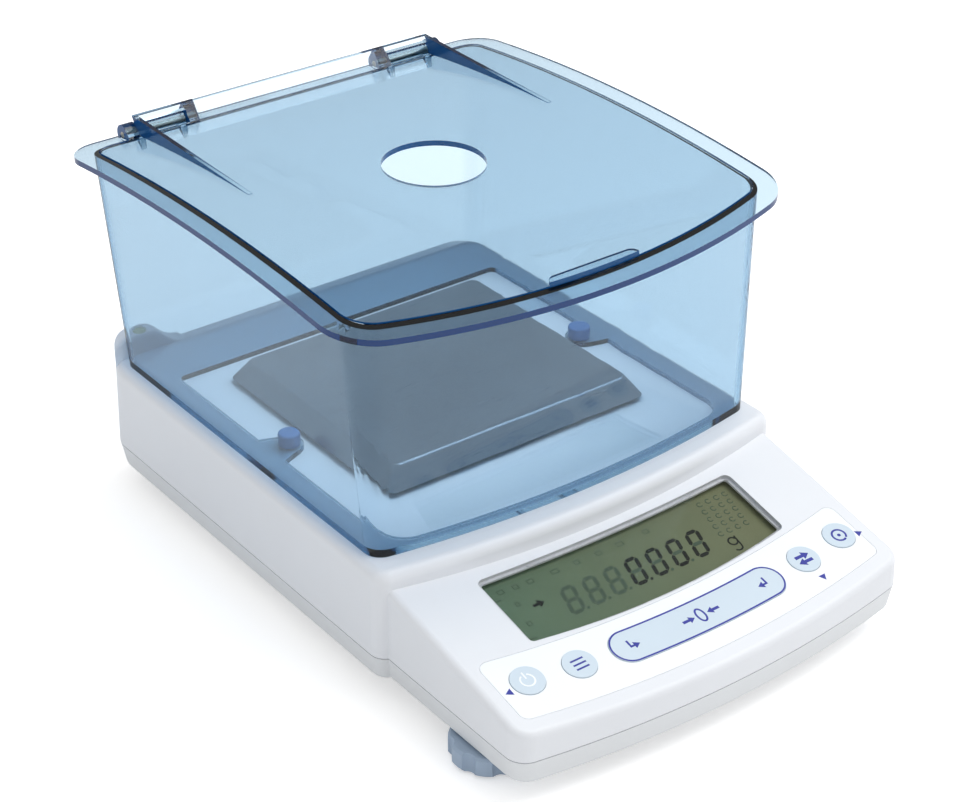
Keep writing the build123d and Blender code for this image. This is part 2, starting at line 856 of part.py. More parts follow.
def shield_plan(z, inset):
    """Plan of the shield wall at a height, a distance inside its outer face."""
    share = (z - shield_bottom_z) / (arch_rear_z - shield_bottom_z)
    half = shield_half(z)
    gain = shield_front_bow_gain * share
    apex = shield_front_y - shield_front_lean * share
    bow = sag(half) + gain
    radius = (half**2 + bow**2) / (2 * bow)
    corner = shield_corner + (shield_top_corner - shield_corner) * share
    rear = shield_rear_y + shield_rear_lean * share
    front_radius = corner - inset / 2
    rear_radius = shield_corner - inset / 2
    return bowed_outline(
        half - inset, apex + inset, rear - inset, front_radius, rear_radius, radius - inset
    )


def arch_z(y):
    """Height of the arched top of the shield at a place along Y."""
    centre_y, centre_z, radius = arch_circle()
    return centre_z + sqrt(radius**2 - (y - centre_y) ** 2)


def arch_circle():
    """Centre and radius of the arc through the rear, crown and front heights."""
    rear = (flange_rear_y, arch_rear_z)
    front = (2 * arch_middle_y - flange_rear_y, arch_front_z)
    crown = (arch_middle_y, (arch_rear_z + arch_front_z) / 2 + arch_rise)
    (ax, ay), (bx, by), (cx, cy) = rear, crown, front
    d = 2 * (ax * (by - cy) + bx * (cy - ay) + cx * (ay - by))
    a2, b2, c2 = ax**2 + ay**2, bx**2 + by**2, cx**2 + cy**2
    centre_y = (a2 * (by - cy) + b2 * (cy - ay) + c2 * (ay - by)) / d
    centre_z = (a2 * (cx - bx) + b2 * (ax - cx) + c2 * (bx - ax)) / d
    return centre_y, centre_z, sqrt((ax - centre_y) ** 2 + (ay - centre_z) ** 2)


def arch_band(above, below, half_width=None):
    """Arched sheet between two distances above and below the arch, across X."""
    centre_y, centre_z, radius = arch_circle()
    half_width = half_width or body_width
    ring = Plane.YZ * (Pos(centre_y, centre_z) * (Circle(radius + above) - Circle(radius - below)))
    band = extrude(ring, half_width, both=True)
    keep = Pos(0, 0, arch_rear_z) * Box(2 * half_width, 2 * overall_depth, overall_depth / 2)
    return band & keep


def wall_loft(inset, low_z, high_z):
    """Solid form of the shield wall between two heights."""
    return loft([Pos(0, 0, z) * shield_plan(z, inset) for z in (low_z, high_z)], ruled=True)


def top_plan(inset, apex_y, rear_y, half, corner, rear_corner):
    """Plan of the flange or the lid at the top of the shield."""
    bow = sag(half) + shield_front_bow_gain
    radius = (half**2 + bow**2) / (2 * bow)
    front_radius = corner - inset / 2
    return bowed_outline(
        half - inset, apex_y + inset, rear_y - inset, front_radius, rear_corner, radius - inset
    )


def lid_plan(inset):
    """Plan of the lid, a distance inside the outer face of the wall top."""
    return top_plan(
        inset, shield_top_front_y, shield_top_rear_y, shield_top_width / 2, shield_top_corner, shield_corner
    )


def hinge_spans():
    """For each hinge, the middle of its inner ear, barrel and outer ear along X."""
    spans = []
    for side in (-1, 1):
        inner = side * (hinge_inner_x + hinge_ear / 2)
        outer = side * (hinge_outer_x - hinge_ear / 2)
        spans.append((inner, (inner + outer) / 2, outer))
    return spans


def barrel_length():
    """Length of the barrel between the two ears of one hinge."""
    return hinge_outer_x - hinge_inner_x - 2 * hinge_ear - 2 * hinge_side_gap


def shield_tab(side):
    """Tab of the bottom rim under one thumb screw, with a round tip."""
    root_x = side * (shield_bottom_width / 2 - shield_wall)
    tip = Pos(side * screw_x, screw_y) * Circle(tab_tip_radius)
    root_low = (root_x, screw_y - tab_length / 2)
    root_high = (root_x, screw_y + tab_length / 2)
    tip_x = side * (screw_x - tab_tip_radius * 0.3)
    tip_high = (tip_x, screw_y + tab_tip_radius)
    tip_low = (tip_x, screw_y - tab_tip_radius)
    web = make_face(Polyline(root_low, root_high, tip_high, tip_low, close=True))
    return extrude(Pos(0, 0, shield_bottom_z) * (web + tip), shield_rim)


def draft_shield():
    """Tapered tub with an arched flange, a bottom rim, two tabs and two barrels."""
    high = arch_rear_z + arch_rise + 4
    outer = wall_loft(0, shield_bottom_z, high)
    cavity = wall_loft(shield_wall, shield_bottom_z + shield_rim, high + 1)
    opening_half = shield_bottom_width / 2 - rim_side
    opening = bowed_outline(
        opening_half, shield_front_y + rim_front, shield_rear_y - rim_rear, rim_corner, window_corner
    )
    tub = outer - cavity - extrude(Pos(0, 0, shield_bottom_z - 1) * opening, shield_rim + 2)
    tub -= arch_band(overall_depth / 8, 0)
    flange_half = shield_top_width / 2 + flange_width
    flange_plan = top_plan(
        0, flange_front_y, flange_rear_y, flange_half, flange_corner, shield_top_corner
    )
    low_z = arch_rear_z - 4 * flange_thickness
    flange = extrude(Pos(0, 0, low_z) * flange_plan, high - low_z) & arch_band(0, flange_thickness)
    flange -= wall_loft(shield_wall / 2, shield_bottom_z, high + 1)
    tub += flange
    seat = extrude(Pos(0, 0, low_z) * lid_plan(lid_ledge), high - low_z)
    for side in (-1, 1):
        tub += shield_tab(side)
        tub -= cylinder_z(side * screw_x, screw_y, shield_bottom_z - 1, screw_radius + 0.35, shield_rim + 2)
    for inner, middle, outer_x in hinge_spans():
        relief_length = hinge_ear + 2 * hinge_side_gap
        for ear_x in (inner, outer_x):
            tub -= cylinder_x(ear_x, hinge_y, hinge_z, hinge_ear_radius + ear_relief, relief_length)
        tub -= cylinder_x(middle, hinge_y, hinge_z, hinge_barrel_radius, barrel_length())
        tub += cylinder_x(middle, hinge_y, hinge_z, hinge_barrel_radius, barrel_length())
        for end in (-1, 1):
            gusset_x = middle + end * (barrel_length() - gusset_thickness) / 2
            wall_y = shield_top_rear_y - shield_wall / 2
            tub += side_slab(
                [
                    (wall_y - 0.6, hinge_z - hinge_barrel_radius / 2),
                    (hinge_y + hinge_barrel_radius * 0.8, hinge_z - hinge_barrel_radius * 0.55),
                    (wall_y - 0.6, hinge_z - hinge_barrel_radius - gusset_drop),
                ],
                gusset_x,
                gusset_thickness,
            )
        tub -= cylinder_x(middle, hinge_y, hinge_z, hinge_pin_radius + running_gap, barrel_length() + 2)
    flap_seat_y = flap_y + lid_gap - shield_top_corner
    seat += block(0, flap_seat_y, low_z, 2 * (hinge_outer_x + lid_gap), 2 * shield_top_corner, high - low_z)
    return tub - (seat & arch_band(overall_depth / 8, lid_thickness))


def shield_screw(side):
    """Thumb screw with a rounded head that clamps the shield on the casing."""
    x = side * screw_x
    seat = shield_bottom_z + shield_rim
    head = cylinder_z(x, screw_y, seat, screw_head_radius, screw_head_height)
    head = fillet(head.edges().sort_by(Axis.Z)[-1], 1.0)
    foot = cylinder_z(x, screw_y, seat, screw_head_radius * 0.8, 0.8)
    shank = cylinder_z(x, screw_y, seat - screw_length, screw_radius, screw_length)
    return head + foot + shank


def shield_lid():
    """Arched lid with a hole, an upturned rear flap, wedge ribs and hinge ears."""
    low_z = arch_rear_z - 4 * lid_thickness
    high = arch_rear_z + arch_rise + 6
    plate = extrude(Pos(0, 0, low_z) * lid_plan(lid_ledge + lid_gap), high - low_z)
    rear_y = flap_y
    plate -= block(0, rear_y + reach / 2, 0, reach, reach, 2 * high)
    body = plate & arch_band(lid_proud, lid_thickness - lid_proud)
    body -= cylinder_z(0, pan_y, low_z, lid_hole_radius, high)
    lift_y = shield_top_front_y + lid_ledge + lid_gap
    lift = block(0, lift_y, low_z, finger_lift_width, 2 * finger_lift_reach, high)
    lift = fillet(lift.edges().filter_by(Axis.Z), finger_lift_reach - 0.1)
    body += plate & lift & arch_band(lid_proud + finger_lift_rise, 0)
    base_z = arch_z(rear_y) + lid_proud
    top_y = rear_y + lid_flap_lean
    top_z = base_z + lid_flap_height
    flap_points = [
        (rear_y, base_z - lid_thickness),
        (rear_y, base_z - lid_thickness * 0.3),
        (top_y, top_z),
        (top_y - lid_flap_thickness, top_z),
        (rear_y - lid_flap_thickness, base_z - lid_proud),
        (rear_y - lid_flap_thickness, base_z - lid_thickness),
    ]
    flap = side_slab(flap_points, 0, 2 * lid_flap_half)
    for inner, middle, outer_x in hinge_spans():
        cut_height = top_z - hinge_window_bar - base_z
        flap -= block(middle, rear_y + 6, base_z, barrel_length() + 2 * hinge_side_gap, 20, cut_height)
        socket_length = barrel_length() + 2 * hinge_side_gap
        flap -= cylinder_x(middle, hinge_y, hinge_z, hinge_barrel_radius + hinge_side_gap, socket_length)
    body += flap
    lug_root = [(rear_y - lid_flap_thickness, base_z - lid_thickness), (rear_y - lid_flap_thickness, base_z)]
    lug_tip = [
        (hinge_y + hinge_ear_radius * 0.95, hinge_z + hinge_ear_radius * 0.3),
        (hinge_y, hinge_z - hinge_ear_radius * 0.5),
    ]
    tall = lug_root + [(top_y - lid_flap_thickness, top_z), (top_y, top_z)] + lug_tip
    short = lug_root + [(hinge_y, hinge_z + hinge_ear_radius)] + lug_tip
    for inner, middle, outer_x in hinge_spans():
        for ear_x in (inner, outer_x):
            ear = cylinder_x(ear_x, hinge_y, hinge_z, hinge_ear_radius, hinge_ear)
            outline = short if abs(ear_x) > lid_flap_half else tall
            body += ear + side_slab(outline, ear_x, hinge_ear)
            body -= cylinder_x(ear_x, hinge_y, hinge_z, hinge_pin_radius, hinge_ear + 2)
    for side in (-1, 1):
        rib_y = rear_y - rib_length
        rib = side_slab(
            [
                (rear_y, base_z - lid_thickness / 2),
                (top_y - lid_flap_thickness / 2, top_z),
                (rib_y, arch_z(rib_y) + lid_proud + 0.2),
                (rib_y, arch_z(rib_y) - lid_thickness / 2),
                ((rib_y + rear_y) / 2, arch_z((rib_y + rear_y) / 2) - lid_thickness / 2),
            ],
            side * (lid_flap_half - rib_thickness / 2),
            rib_thickness,
        )
        for inner, middle, outer_x in hinge_spans():
            rib -= cylinder_x(middle, hinge_y, hinge_z, hinge_barrel_radius + hinge_side_gap, socket_length)
        body += rib
    return body


def hinge_pins():
    """One pin through each hinge."""
    length = hinge_outer_x - hinge_inner_x
    middles = [middle for inner, middle, outer_x in hinge_spans()]
    return [cylinder_x(middle, hinge_y, hinge_z, hinge_pin_radius, length) for middle in middles]


# Feet

def level_knob(side):
    """Lobed knob of a levelling foot."""
    x = side * knob_x
    body = cylinder_z(x, knob_y, knob_bottom_z, knob_radius, knob_height)
    body = chamfer(body.edges().filter_by(GeomType.CIRCLE), 1.0)
    for lobe in range(knob_lobes):
        angle = radians(360 / knob_lobes * (lobe + 0.5))
        gx = x + (knob_radius + knob_groove * 0.45) * cos(angle)
        gy = knob_y + (knob_radius + knob_groove * 0.45) * sin(angle)
        body -= cylinder_z(gx, gy, knob_bottom_z - 1, knob_groove, knob_height + 2)
    body -= cylinder_z(x, knob_y, knob_bottom_z - 1, pad_radius, pad_height + 1 - knob_bottom_z)
    return body - cylinder_z(x, knob_y, knob_bottom_z, stud_radius, knob_height + 2)


def level_stud(side):
    """Threaded stud of a levelling foot, drawn as its outer cylinder."""
    return cylinder_z(side * knob_x, knob_y, pad_height, stud_radius, stud_top_z - pad_height)


def foot_pad(side):
    """Rubber pad under a levelling foot."""
    body = cylinder_z(side * knob_x, knob_y, 0, pad_radius, pad_height)
    return chamfer(body.edges().sort_by(Axis.Z)[0], 0.6)


def rear_feet():
    """Two rubber feet under the rear of the lower casing."""
    feet = []
    for side in (-1, 1):
        y = casing_rear_y - rear_foot_from_rear
        foot = cylinder_z(side * rear_foot_x, y, 0, rear_foot_radius, casing_bottom_z)
        feet.append(chamfer(foot.edges().sort_by(Axis.Z)[0], 1.5))
    return feet


# Electronics and fasteners

def main_board_places():
    """The four screws of the main board."""
    centre_y = main_board_centre_y()
    half_x = main_board_width / 2 - main_board_screw_inset
    half_y = main_board_length / 2 - main_board_screw_inset
    return [(i * half_x, centre_y + j * half_y) for i in (-1, 1) for j in (-1, 1)]


def main_board_centre_y():
    """Middle of the main board, which stands just inside the rear wall."""
    inner_y = casing_rear_y - wall - tongue_thickness
    return inner_y - main_board_rear_gap - main_board_length / 2


def main_board():
    """Main circuit board behind the base frame."""
    body = block(0, main_board_centre_y(), main_board_z, main_board_width, main_board_length, board_thickness)
    for x, y in main_board_places():
        body -= cylinder_z(x, y, main_board_z - 1, board_screw_radius + screw_clearance, board_thickness + 2)
    return body


def board_parts():
    """Larger components on the main board: a chip, a coil and two capacitors."""
    top = main_board_z + board_thickness
    y = main_board_centre_y()
    chip = block(chip_x, y, top, chip_size, chip_size, chip_height)
    coil = block(coil_x, y + coil_y, top, coil_size, coil_size, coil_height)
    parts = [chip, coil]
    for x in (capacitor_x, capacitor_x + capacitor_pitch):
        parts.append(cylinder_z(x, y + capacitor_y, top, capacitor_radius, capacitor_height))
    return parts


def power_inlet():
    """Round low-voltage inlet on the main board, with its centre pin."""
    top = main_board_z + board_thickness
    z = top + inlet_height / 2
    mouth_y = casing_rear_y - inlet_setback
    body = Pos(inlet_x, mouth_y - inlet_length / 2, z) * Box(inlet_width, inlet_length, inlet_height)
    depth = inlet_length - inlet_floor
    body -= Pos(inlet_x, mouth_y, z) * Rot(90, 0, 0) * Cylinder(inlet_hole_radius, 2 * depth)
    pin_y = mouth_y - depth / 2 - 1.2
    return body + Pos(inlet_x, pin_y, z) * Rot(90, 0, 0) * Cylinder(inlet_pin_radius, depth - 1)


def data_port():
    """Nine-pin data socket on the main board with its metal shell."""
    top = main_board_z + board_thickness
    z = top + port_height / 2
    face_y = casing_rear_y - port_setback
    flange = Pos(port_x, face_y - port_length / 2, z) * Box(port_width, port_length, port_height)
    shell = Pos(port_x, face_y, z) * Box(port_mouth_width, port_mouth_length, port_mouth_height)
    body = flange + fillet(shell.edges().filter_by(Axis.Y), port_mouth_corner)
    mouth_width = port_mouth_width - 2 * port_mouth_wall
    mouth_height = port_mouth_height - 2 * port_mouth_wall
    body -= Pos(port_x, face_y + port_mouth_length / 2, z) * Box(mouth_width, 5, mouth_height)
    for side in (-1, 1):
        nut = extrude(RegularPolygon(port_nut_radius, 6), port_nut_length, both=True)
        body += Pos(port_x + side * port_nut_x, face_y, z) * Rot(90, 0, 0) * nut
    return body


def ribbon():
    """Flat ribbon from the main board to the display board along the floor."""
    board_front_y = main_board_centre_y() - main_board_length / 2
    start_z = main_board_z + board_thickness + ribbon_thickness
    low_z = floor_top_z + ribbon_floor_gap
    end_v = board_front_v + board_length - ribbon_overlap
    end = on_console(0, end_v, board_depth + board_thickness + ribbon_thickness).position
    route = FilletPolyline(
        (board_front_y + ribbon_overlap, start_z),
        (board_front_y - ribbon_overlap, start_z),
        (board_front_y - ribbon_overlap, low_z),
        (end.Y + ribbon_overlap, low_z),
        (end.Y, end.Z),
        radius=ribbon_bend,
    )
    strip = make_face(offset(route, ribbon_thickness, side=Side.LEFT).edges())
    return extrude(Plane.YZ.offset(ribbon_x) * strip, ribbon_width)


def casing_screws():
    """Six screws from below that hold the two casings together."""
    screws = []
    for x, y in screw_places():
        head_z = casing_bottom_z + 0.4
        screw = cylinder_z(x, y, head_z, casing_screw_head, 2.0)
        tip = pillar_joint_z + (roof_z(y) - wall - pillar_joint_z) * pillar_screw_share
        screw += cylinder_z(x, y, head_z, casing_screw_radius, tip - head_z)
        screws.append(screw)
    return screws


def board_screws():
    """Screws of the main board."""
    screws = []
    for x, y in main_board_places():
        top = main_board_z + board_thickness
        head = cylinder_z(x, y, top, board_screw_head, board_screw_head_height)
        screws.append(head + cylinder_z(x, y, top - 7, board_screw_radius, 7.5))
    return screws


def write_nodes():
    """Write one file per piece, or per group of like pieces."""
    nodes = {
        "upper_casing": upper_casing(),
        "lower_casing": lower_casing(),
        "level_vial": level_vial(),
        "display_window": display_window(),
        "key_strip": key_strip(),
        "display_panel": display_panel(),
        "display_frame": display_frame(),
        "display_board": display_board(),
        "key_switches": key_switches(),
        "display_screws": display_screws(),
        "weighing_pan": weighing_pan(),
        "pan_carrier": pan_carrier(),
        "pan_cushions": pan_cushions(),
        "carrier_arm": carrier_arm(),
        "load_cell": load_cell(),
        "load_cell_spacers": load_cell_spacers(),
        "sensor_bolts": sensor_bolts(),
        "base_frame": base_frame(),
        "frame_screws": frame_screws(),
        "draft_shield": draft_shield(),
        "shield_lid": shield_lid(),
        "hinge_pins": hinge_pins(),
        "rear_feet": rear_feet(),
        "main_board": main_board(),
        "board_parts": board_parts(),
        "power_inlet": power_inlet(),
        "data_port": data_port(),
        "ribbon": ribbon(),
        "casing_screws": casing_screws(),
        "board_screws": board_screws(),
    }
    for name in key_places():
        nodes[name] = key(name)
    for side, word in ((-1, "left"), (1, "right")):
        nodes[f"shield_screw_{word}"] = shield_screw(side)
        nodes[f"level_knob_{word}"] = level_knob(side)
        nodes[f"level_stud_{word}"] = level_stud(side)
        nodes[f"foot_pad_{word}"] = foot_pad(side)
    for name, shape in nodes.items():
        pieces = shape if isinstance(shape, list) else [shape]
        solids = [solid for piece in pieces for solid in piece.solids()]
        export_step(Compound(solids) if len(solids) > 1 else solids[0], f"parts/{name}.step")


write_nodes()
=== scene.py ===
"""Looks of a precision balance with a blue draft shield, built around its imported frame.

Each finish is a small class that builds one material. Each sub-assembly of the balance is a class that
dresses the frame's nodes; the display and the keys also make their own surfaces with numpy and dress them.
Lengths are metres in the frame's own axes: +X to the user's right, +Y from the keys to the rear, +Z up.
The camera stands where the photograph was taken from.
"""

import logging
import math
from dataclasses import dataclass, field
from enum import Enum

import bpy
import numpy as np
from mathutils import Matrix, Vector


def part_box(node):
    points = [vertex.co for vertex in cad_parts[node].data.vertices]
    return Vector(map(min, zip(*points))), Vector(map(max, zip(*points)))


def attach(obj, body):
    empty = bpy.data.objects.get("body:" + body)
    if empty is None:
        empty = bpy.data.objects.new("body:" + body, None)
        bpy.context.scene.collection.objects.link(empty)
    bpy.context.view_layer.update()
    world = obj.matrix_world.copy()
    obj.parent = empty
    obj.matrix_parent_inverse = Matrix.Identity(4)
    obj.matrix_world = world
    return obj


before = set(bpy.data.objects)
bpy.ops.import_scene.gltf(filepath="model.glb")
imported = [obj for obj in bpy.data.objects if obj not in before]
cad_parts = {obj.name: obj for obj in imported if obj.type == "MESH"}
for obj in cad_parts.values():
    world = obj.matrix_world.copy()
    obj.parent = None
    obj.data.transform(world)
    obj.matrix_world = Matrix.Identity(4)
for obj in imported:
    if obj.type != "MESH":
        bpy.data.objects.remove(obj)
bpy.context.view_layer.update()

logging.basicConfig(level=logging.INFO, format="%(message)s")
LOG = logging.getLogger("balance")

MM = 0.001
WHITE = "#FFFFFF"
Array = np.ndarray
Colour = tuple[float, float, float, float]
Pair = tuple[float, float]
Place = tuple[float, float, float]
Tree = bpy.types.NodeTree
Socket = bpy.types.NodeSocket
Recipe = tuple[dict[str, object], dict[str, Socket]]


def linear(hex_colour: str) -> Colour:
    """Turns an sRGB hex colour into the linear colour that a shader takes.

    A share c becomes c / 12.92 up to 0.04045, and ((c + 0.055) / 1.055) to the power 2.4 above it.

    Args:
        hex_colour: Six hex digits after a hash sign.

    Returns:
        Red, green and blue as linear light, and an alpha of one.
    """
    shares = [int(hex_colour[i : i + 2], 16) / 255 for i in (1, 3, 5)]
    red, green, blue = ((c / 12.92) if c <= 0.04045 else ((c + 0.055) / 1.055) ** 2.4 for c in shares)
    return (red, green, blue, 1.0)


def add(
    tree: Tree,
    kind: str,
    values: dict[str | int, object] | None = None,
    links: dict[str | int, Socket] | None = None,
    **settings: object,
) -> bpy.types.Node:
    """Adds one shader node with its settings, its numbers and its links.

    Args:
        tree: The node tree that gets the node.
        kind: The node's type name.
        values: Numbers and colours by the name or number of their input.
        links: Output sockets of other nodes by the name or number of the input they feed.
        settings: The node's own properties.

    Returns:
        The new node.
    """
    node = tree.nodes.new(kind)
    for name, value in settings.items():
        setattr(node, name, value)
    for name, value in (values or {}).items():
        node.inputs[name].default_value = value
    for name, socket in (links or {}).items():
        tree.links.new(socket, node.inputs[name])
    return node


def blank(name: str) -> tuple[bpy.types.Material, Tree, bpy.types.Node]:
    """Makes a material that holds only its output node.

    Args:
        name: The material's name.

    Returns:
        The material, its node tree and its output node.
    """
    material = bpy.data.materials.new(name)
    material.use_nodes = True
    tree = material.node_tree
    tree.nodes.clear()
    return material, tree, add(tree, "ShaderNodeOutputMaterial")


def reckon(tree: Tree, operation: str, *terms: float | Socket) -> Socket:
    """Adds one step of arithmetic over numbers and sockets.

    Args:
        tree: The node tree.
        operation: The math node's operation.
        terms: Its terms in order.

    Returns:
        A number socket.
    """
    node = add(tree, "ShaderNodeMath", operation=operation)
    for index, term in enumerate(terms):
        if isinstance(term, Socket):
            tree.links.new(term, node.inputs[index])
        else:
            node.inputs[index].default_value = term
    return node.outputs[0]


def mapped(
    tree: Tree, value: Socket, low: float, high: float, start: float = 0.0, end: float = 1.0
) -> Socket:
    """Carries a number from one range to another and holds it at both ends.

    Args:
        tree: The node tree.
        value: The number.
        low: What it becomes at the start.
        high: What it becomes at the end.
        start: Where its own range starts.
        end: Where its own range ends.

    Returns:
        A number socket.
    """
    limits = {"From Min": start, "From Max": end, "To Min": low, "To Max": high}
    return add(tree, "ShaderNodeMapRange", limits, {"Value": value}).outputs["Result"]


def own_place(tree: Tree) -> Socket:
    """Place of a point on a piece, in the frame's axes.

    Args:
        tree: The node tree.

    Returns:
        A vector socket.
    """
    return add(tree, "ShaderNodeTexCoord").outputs["Object"]


def noise(tree: Tree, size: float, detail: float = 2.0, place: Socket | None = None) -> Socket:
    """Cloudy grey pattern between nought and one.

    Args:
        tree: The node tree.
        size: Width of one patch in metres.
        detail: How many finer layers it has.
        place: Where it is read, the point's own place by default.

    Returns:
        A number socket.
    """
    where = own_place(tree) if place is None else place
    values = {"Scale": 1 / size, "Detail": detail}
    return add(tree, "ShaderNodeTexNoise", values, {"Vector": where}).outputs["Fac"]


def bump(tree: Tree, height: Socket, strength: float, distance: float) -> Socket:
    """Relief that a pattern presses into a surface.

    Args:
        tree: The node tree.
        height: The pattern.
        strength: How much of the relief shows.
        distance: Its height in metres.

    Returns:
        A normal socket.
    """
    values = {"Strength": strength, "Distance": distance}
    return add(tree, "ShaderNodeBump", values, {"Height": height}).outputs["Normal"]


def blend(tree: Tree, share: Socket, first: str, second: str) -> Socket:
    """Mixes two colours. Inputs 6 and 7 and output 2 of the mix node are those of its colours.

    Args:
        tree: The node tree.
        share: Nought for the first colour, one for the second.
        first: The first colour as sRGB hex.
        second: The second colour as sRGB hex.

    Returns:
        A colour socket.
    """
    colours = {6: linear(first), 7: linear(second)}
    return add(tree, "ShaderNodeMix", colours, {0: share}, data_type="RGBA").outputs[2]


def spot_colour(tree: Tree, colour: str, spread: float, size: float) -> Socket:
    """Colour that drifts a little lighter and darker over the surface, as real mouldings do.

    Args:
        tree: The node tree.
        colour: The middle colour as sRGB hex.
        spread: How far it drifts, as a share of its brightness.
        size: Width of one patch in metres.

    Returns:
        A colour socket.
    """
    drift = mapped(tree, noise(tree, size, 3.0), 1 - spread, 1 + spread, 0.3, 0.7)
    middle = {0: linear(colour)[:3]}
    shade = add(tree, "ShaderNodeVectorMath", middle, {"Scale": drift}, operation="SCALE")
    return shade.outputs["Vector"]


@dataclass(frozen=True)
class Coat:
    """Base of the finishes that are one principled shader."""

    name: str

    def recipe(self, tree: Tree) -> Recipe:
        """Gives the shader's inputs.

        Args:
            tree: The node tree.

        Returns:
            Numbers and colours by the name of their input, and sockets by the input that they feed.
        """
        raise NotImplementedError

    def build(self) -> bpy.types.Material:
        """Builds the material.

        Returns:
            The finished material.
        """
        material, tree, out = blank(self.name)
        shader = add(tree, "ShaderNodeBsdfPrincipled", *self.recipe(tree))
        tree.links.new(shader.outputs["BSDF"], out.inputs["Surface"])
        return material


@dataclass(frozen=True)
class MouldedAbs(Coat):
    """Injection-moulded ABS from a spark-eroded mould: a fine even grain that spreads the highlights."""

    colour: str = "#E4E7EC"
    roughness: float = 0.42
    roughness_spread: float = 0.05
    grain: float = 0.45 * MM
    grain_height: float = 0.012 * MM
    grain_strength: float = 0.35
    drift: float = 0.012
    patch: float = 45 * MM
    ior: float = 1.53

    def recipe(self, tree: Tree) -> Recipe:
        """Gives the shader's inputs, as its base asks."""
        grain = noise(tree, self.grain)
        low, high = self.roughness - self.roughness_spread, self.roughness + self.roughness_spread
        return {"IOR": self.ior}, {
            "Base Color": spot_colour(tree, self.colour, self.drift, self.patch),
            "Roughness": mapped(tree, grain, low, high),
            "Normal": bump(tree, grain, self.grain_strength, self.grain_height),
        }


class EdgeRule(Enum):
    """Which faces of a clear moulding are cut edges, where a painted dark shade stands in for the light
    absorbed along the wall.
    """

    NONE = "none"
    LID = "lid"
    SHIELD = "shield"


@dataclass(frozen=True)
class ClearAcrylic:
    """Moulded PMMA dyed in the mass: pale across a wall, dark where light runs along inside it, which shows
    on the cut edges as painted shade.
    """

    name: str
    depth_colour: str = "#4BABCD"
    density: float = 205.0
    wall_colour: str = "#EEF5FA"
    # Painted edge shade: a navy colour standing in for light absorbed along the wall, and how much of the
    # edge it covers.
    edge_shade_colour: str = "#0F3F7E"
    edge_shade_cover: float = 0.8
    roughness: float = 0.015
    ior: float = 1.49
    edges: EdgeRule = EdgeRule.NONE
    level_from: float = 0.5
    upright_below: float = 0.4
    flange_side: float = 107.5 * MM
    flange_front: float = -73.0 * MM
    flange_rear: float = 153.0 * MM
    front_bow: float = 323.0 * MM
    flange_low: float = 156.0 * MM

    def upright(self, tree: Tree) -> Socket:
        """One on faces that stand upright on their own piece, nought on level ones.

        It is read from the height of the normal in the piece's own axes, so a lid that is swung open
        keeps its look.

        Args:
            tree: The node tree.

        Returns:
            A number socket.
        """
        own_normal = add(tree, "ShaderNodeTexCoord").outputs["Normal"]
        normal = add(tree, "ShaderNodeSeparateXYZ", links={"Vector": own_normal})
        lean = reckon(tree, "ABSOLUTE", normal.outputs["Z"])
        return mapped(tree, lean, 0.0, 1.0, self.level_from, self.upright_below)

    def past_walls(self, tree: Tree) -> Socket:
        """One beyond the walls at the height of the flange, nought elsewhere.

        A place lies there when |x| passes the flange's side, when y passes its rear, or when
        y - x^2 / (2 bow) is short of its front.

        Args:
            tree: The node tree.

        Returns:
            A number socket.
        """
        place = add(tree, "ShaderNodeSeparateXYZ", links={"Vector": own_place(tree)}).outputs
        side = reckon(tree, "ABSOLUTE", place["X"])
        bow = reckon(tree, "MULTIPLY", reckon(tree, "MULTIPLY", side, side), 0.5 / self.front_bow)
        front = reckon(tree, "SUBTRACT", place["Y"], bow)
        beyond = reckon(tree, "GREATER_THAN", side, self.flange_side)
        for test in (
            reckon(tree, "GREATER_THAN", place["Y"], self.flange_rear),
            reckon(tree, "LESS_THAN", front, self.flange_front),
        ):
            beyond = reckon(tree, "MAXIMUM", beyond, test)
        high = reckon(tree, "GREATER_THAN", place["Z"], self.flange_low)
        return reckon(tree, "MULTIPLY", beyond, high)

    def paint_edge_shade(self, tree: Tree, glass: bpy.types.Node) -> None:
        """Paints a dark shade on the cut edges, standing in for the light absorbed along the wall, and gives
        them most of their cover.

        Args:
            tree: The node tree.
            glass: The shader of the clear material.
        """
        share = self.upright(tree)
        if self.edges is EdgeRule.SHIELD:
            share = reckon(tree, "MULTIPLY", share, self.past_walls(tree))
        # Painted shade on the cut edges, standing in for light absorbed along the wall.
        painted_shade = blend(tree, share, WHITE, self.edge_shade_colour)
        tree.links.new(painted_shade, glass.inputs["Base Color"])
        clear = mapped(tree, share, 1.0, 1 - self.edge_shade_cover)
        tree.links.new(clear, glass.inputs["Transmission Weight"])

    def build(self) -> bpy.types.Material:
        """Builds the material. Lamps reach what is behind it through a plain tinted side.

        Returns:
            The finished material.
        """
        material, tree, out = blank(self.name)
        values = {
            "Base Color": linear(WHITE),
            "Roughness": self.roughness,
            "IOR": self.ior,
            "Transmission Weight": 1.0,
        }
        glass = add(tree, "ShaderNodeBsdfPrincipled", values)
        if self.edges is not EdgeRule.NONE:
            self.paint_edge_shade(tree, glass)
        plain = add(tree, "ShaderNodeBsdfTransparent", {"Color": linear(self.wall_colour)})
        shadow = add(tree, "ShaderNodeLightPath").outputs["Is Shadow Ray"]
        sides = {"Fac": shadow, 1: glass.outputs["BSDF"], 2: plain.outputs["BSDF"]}
        mix = add(tree, "ShaderNodeMixShader", links=sides)
        depth = {"Color": linear(self.depth_colour), "Density": self.density}
        dye = add(tree, "ShaderNodeVolumeAbsorption", depth)
        tree.links.new(mix.outputs["Shader"], out.inputs["Surface"])
        tree.links.new(dye.outputs["Volume"], out.inputs["Volume"])
        return material


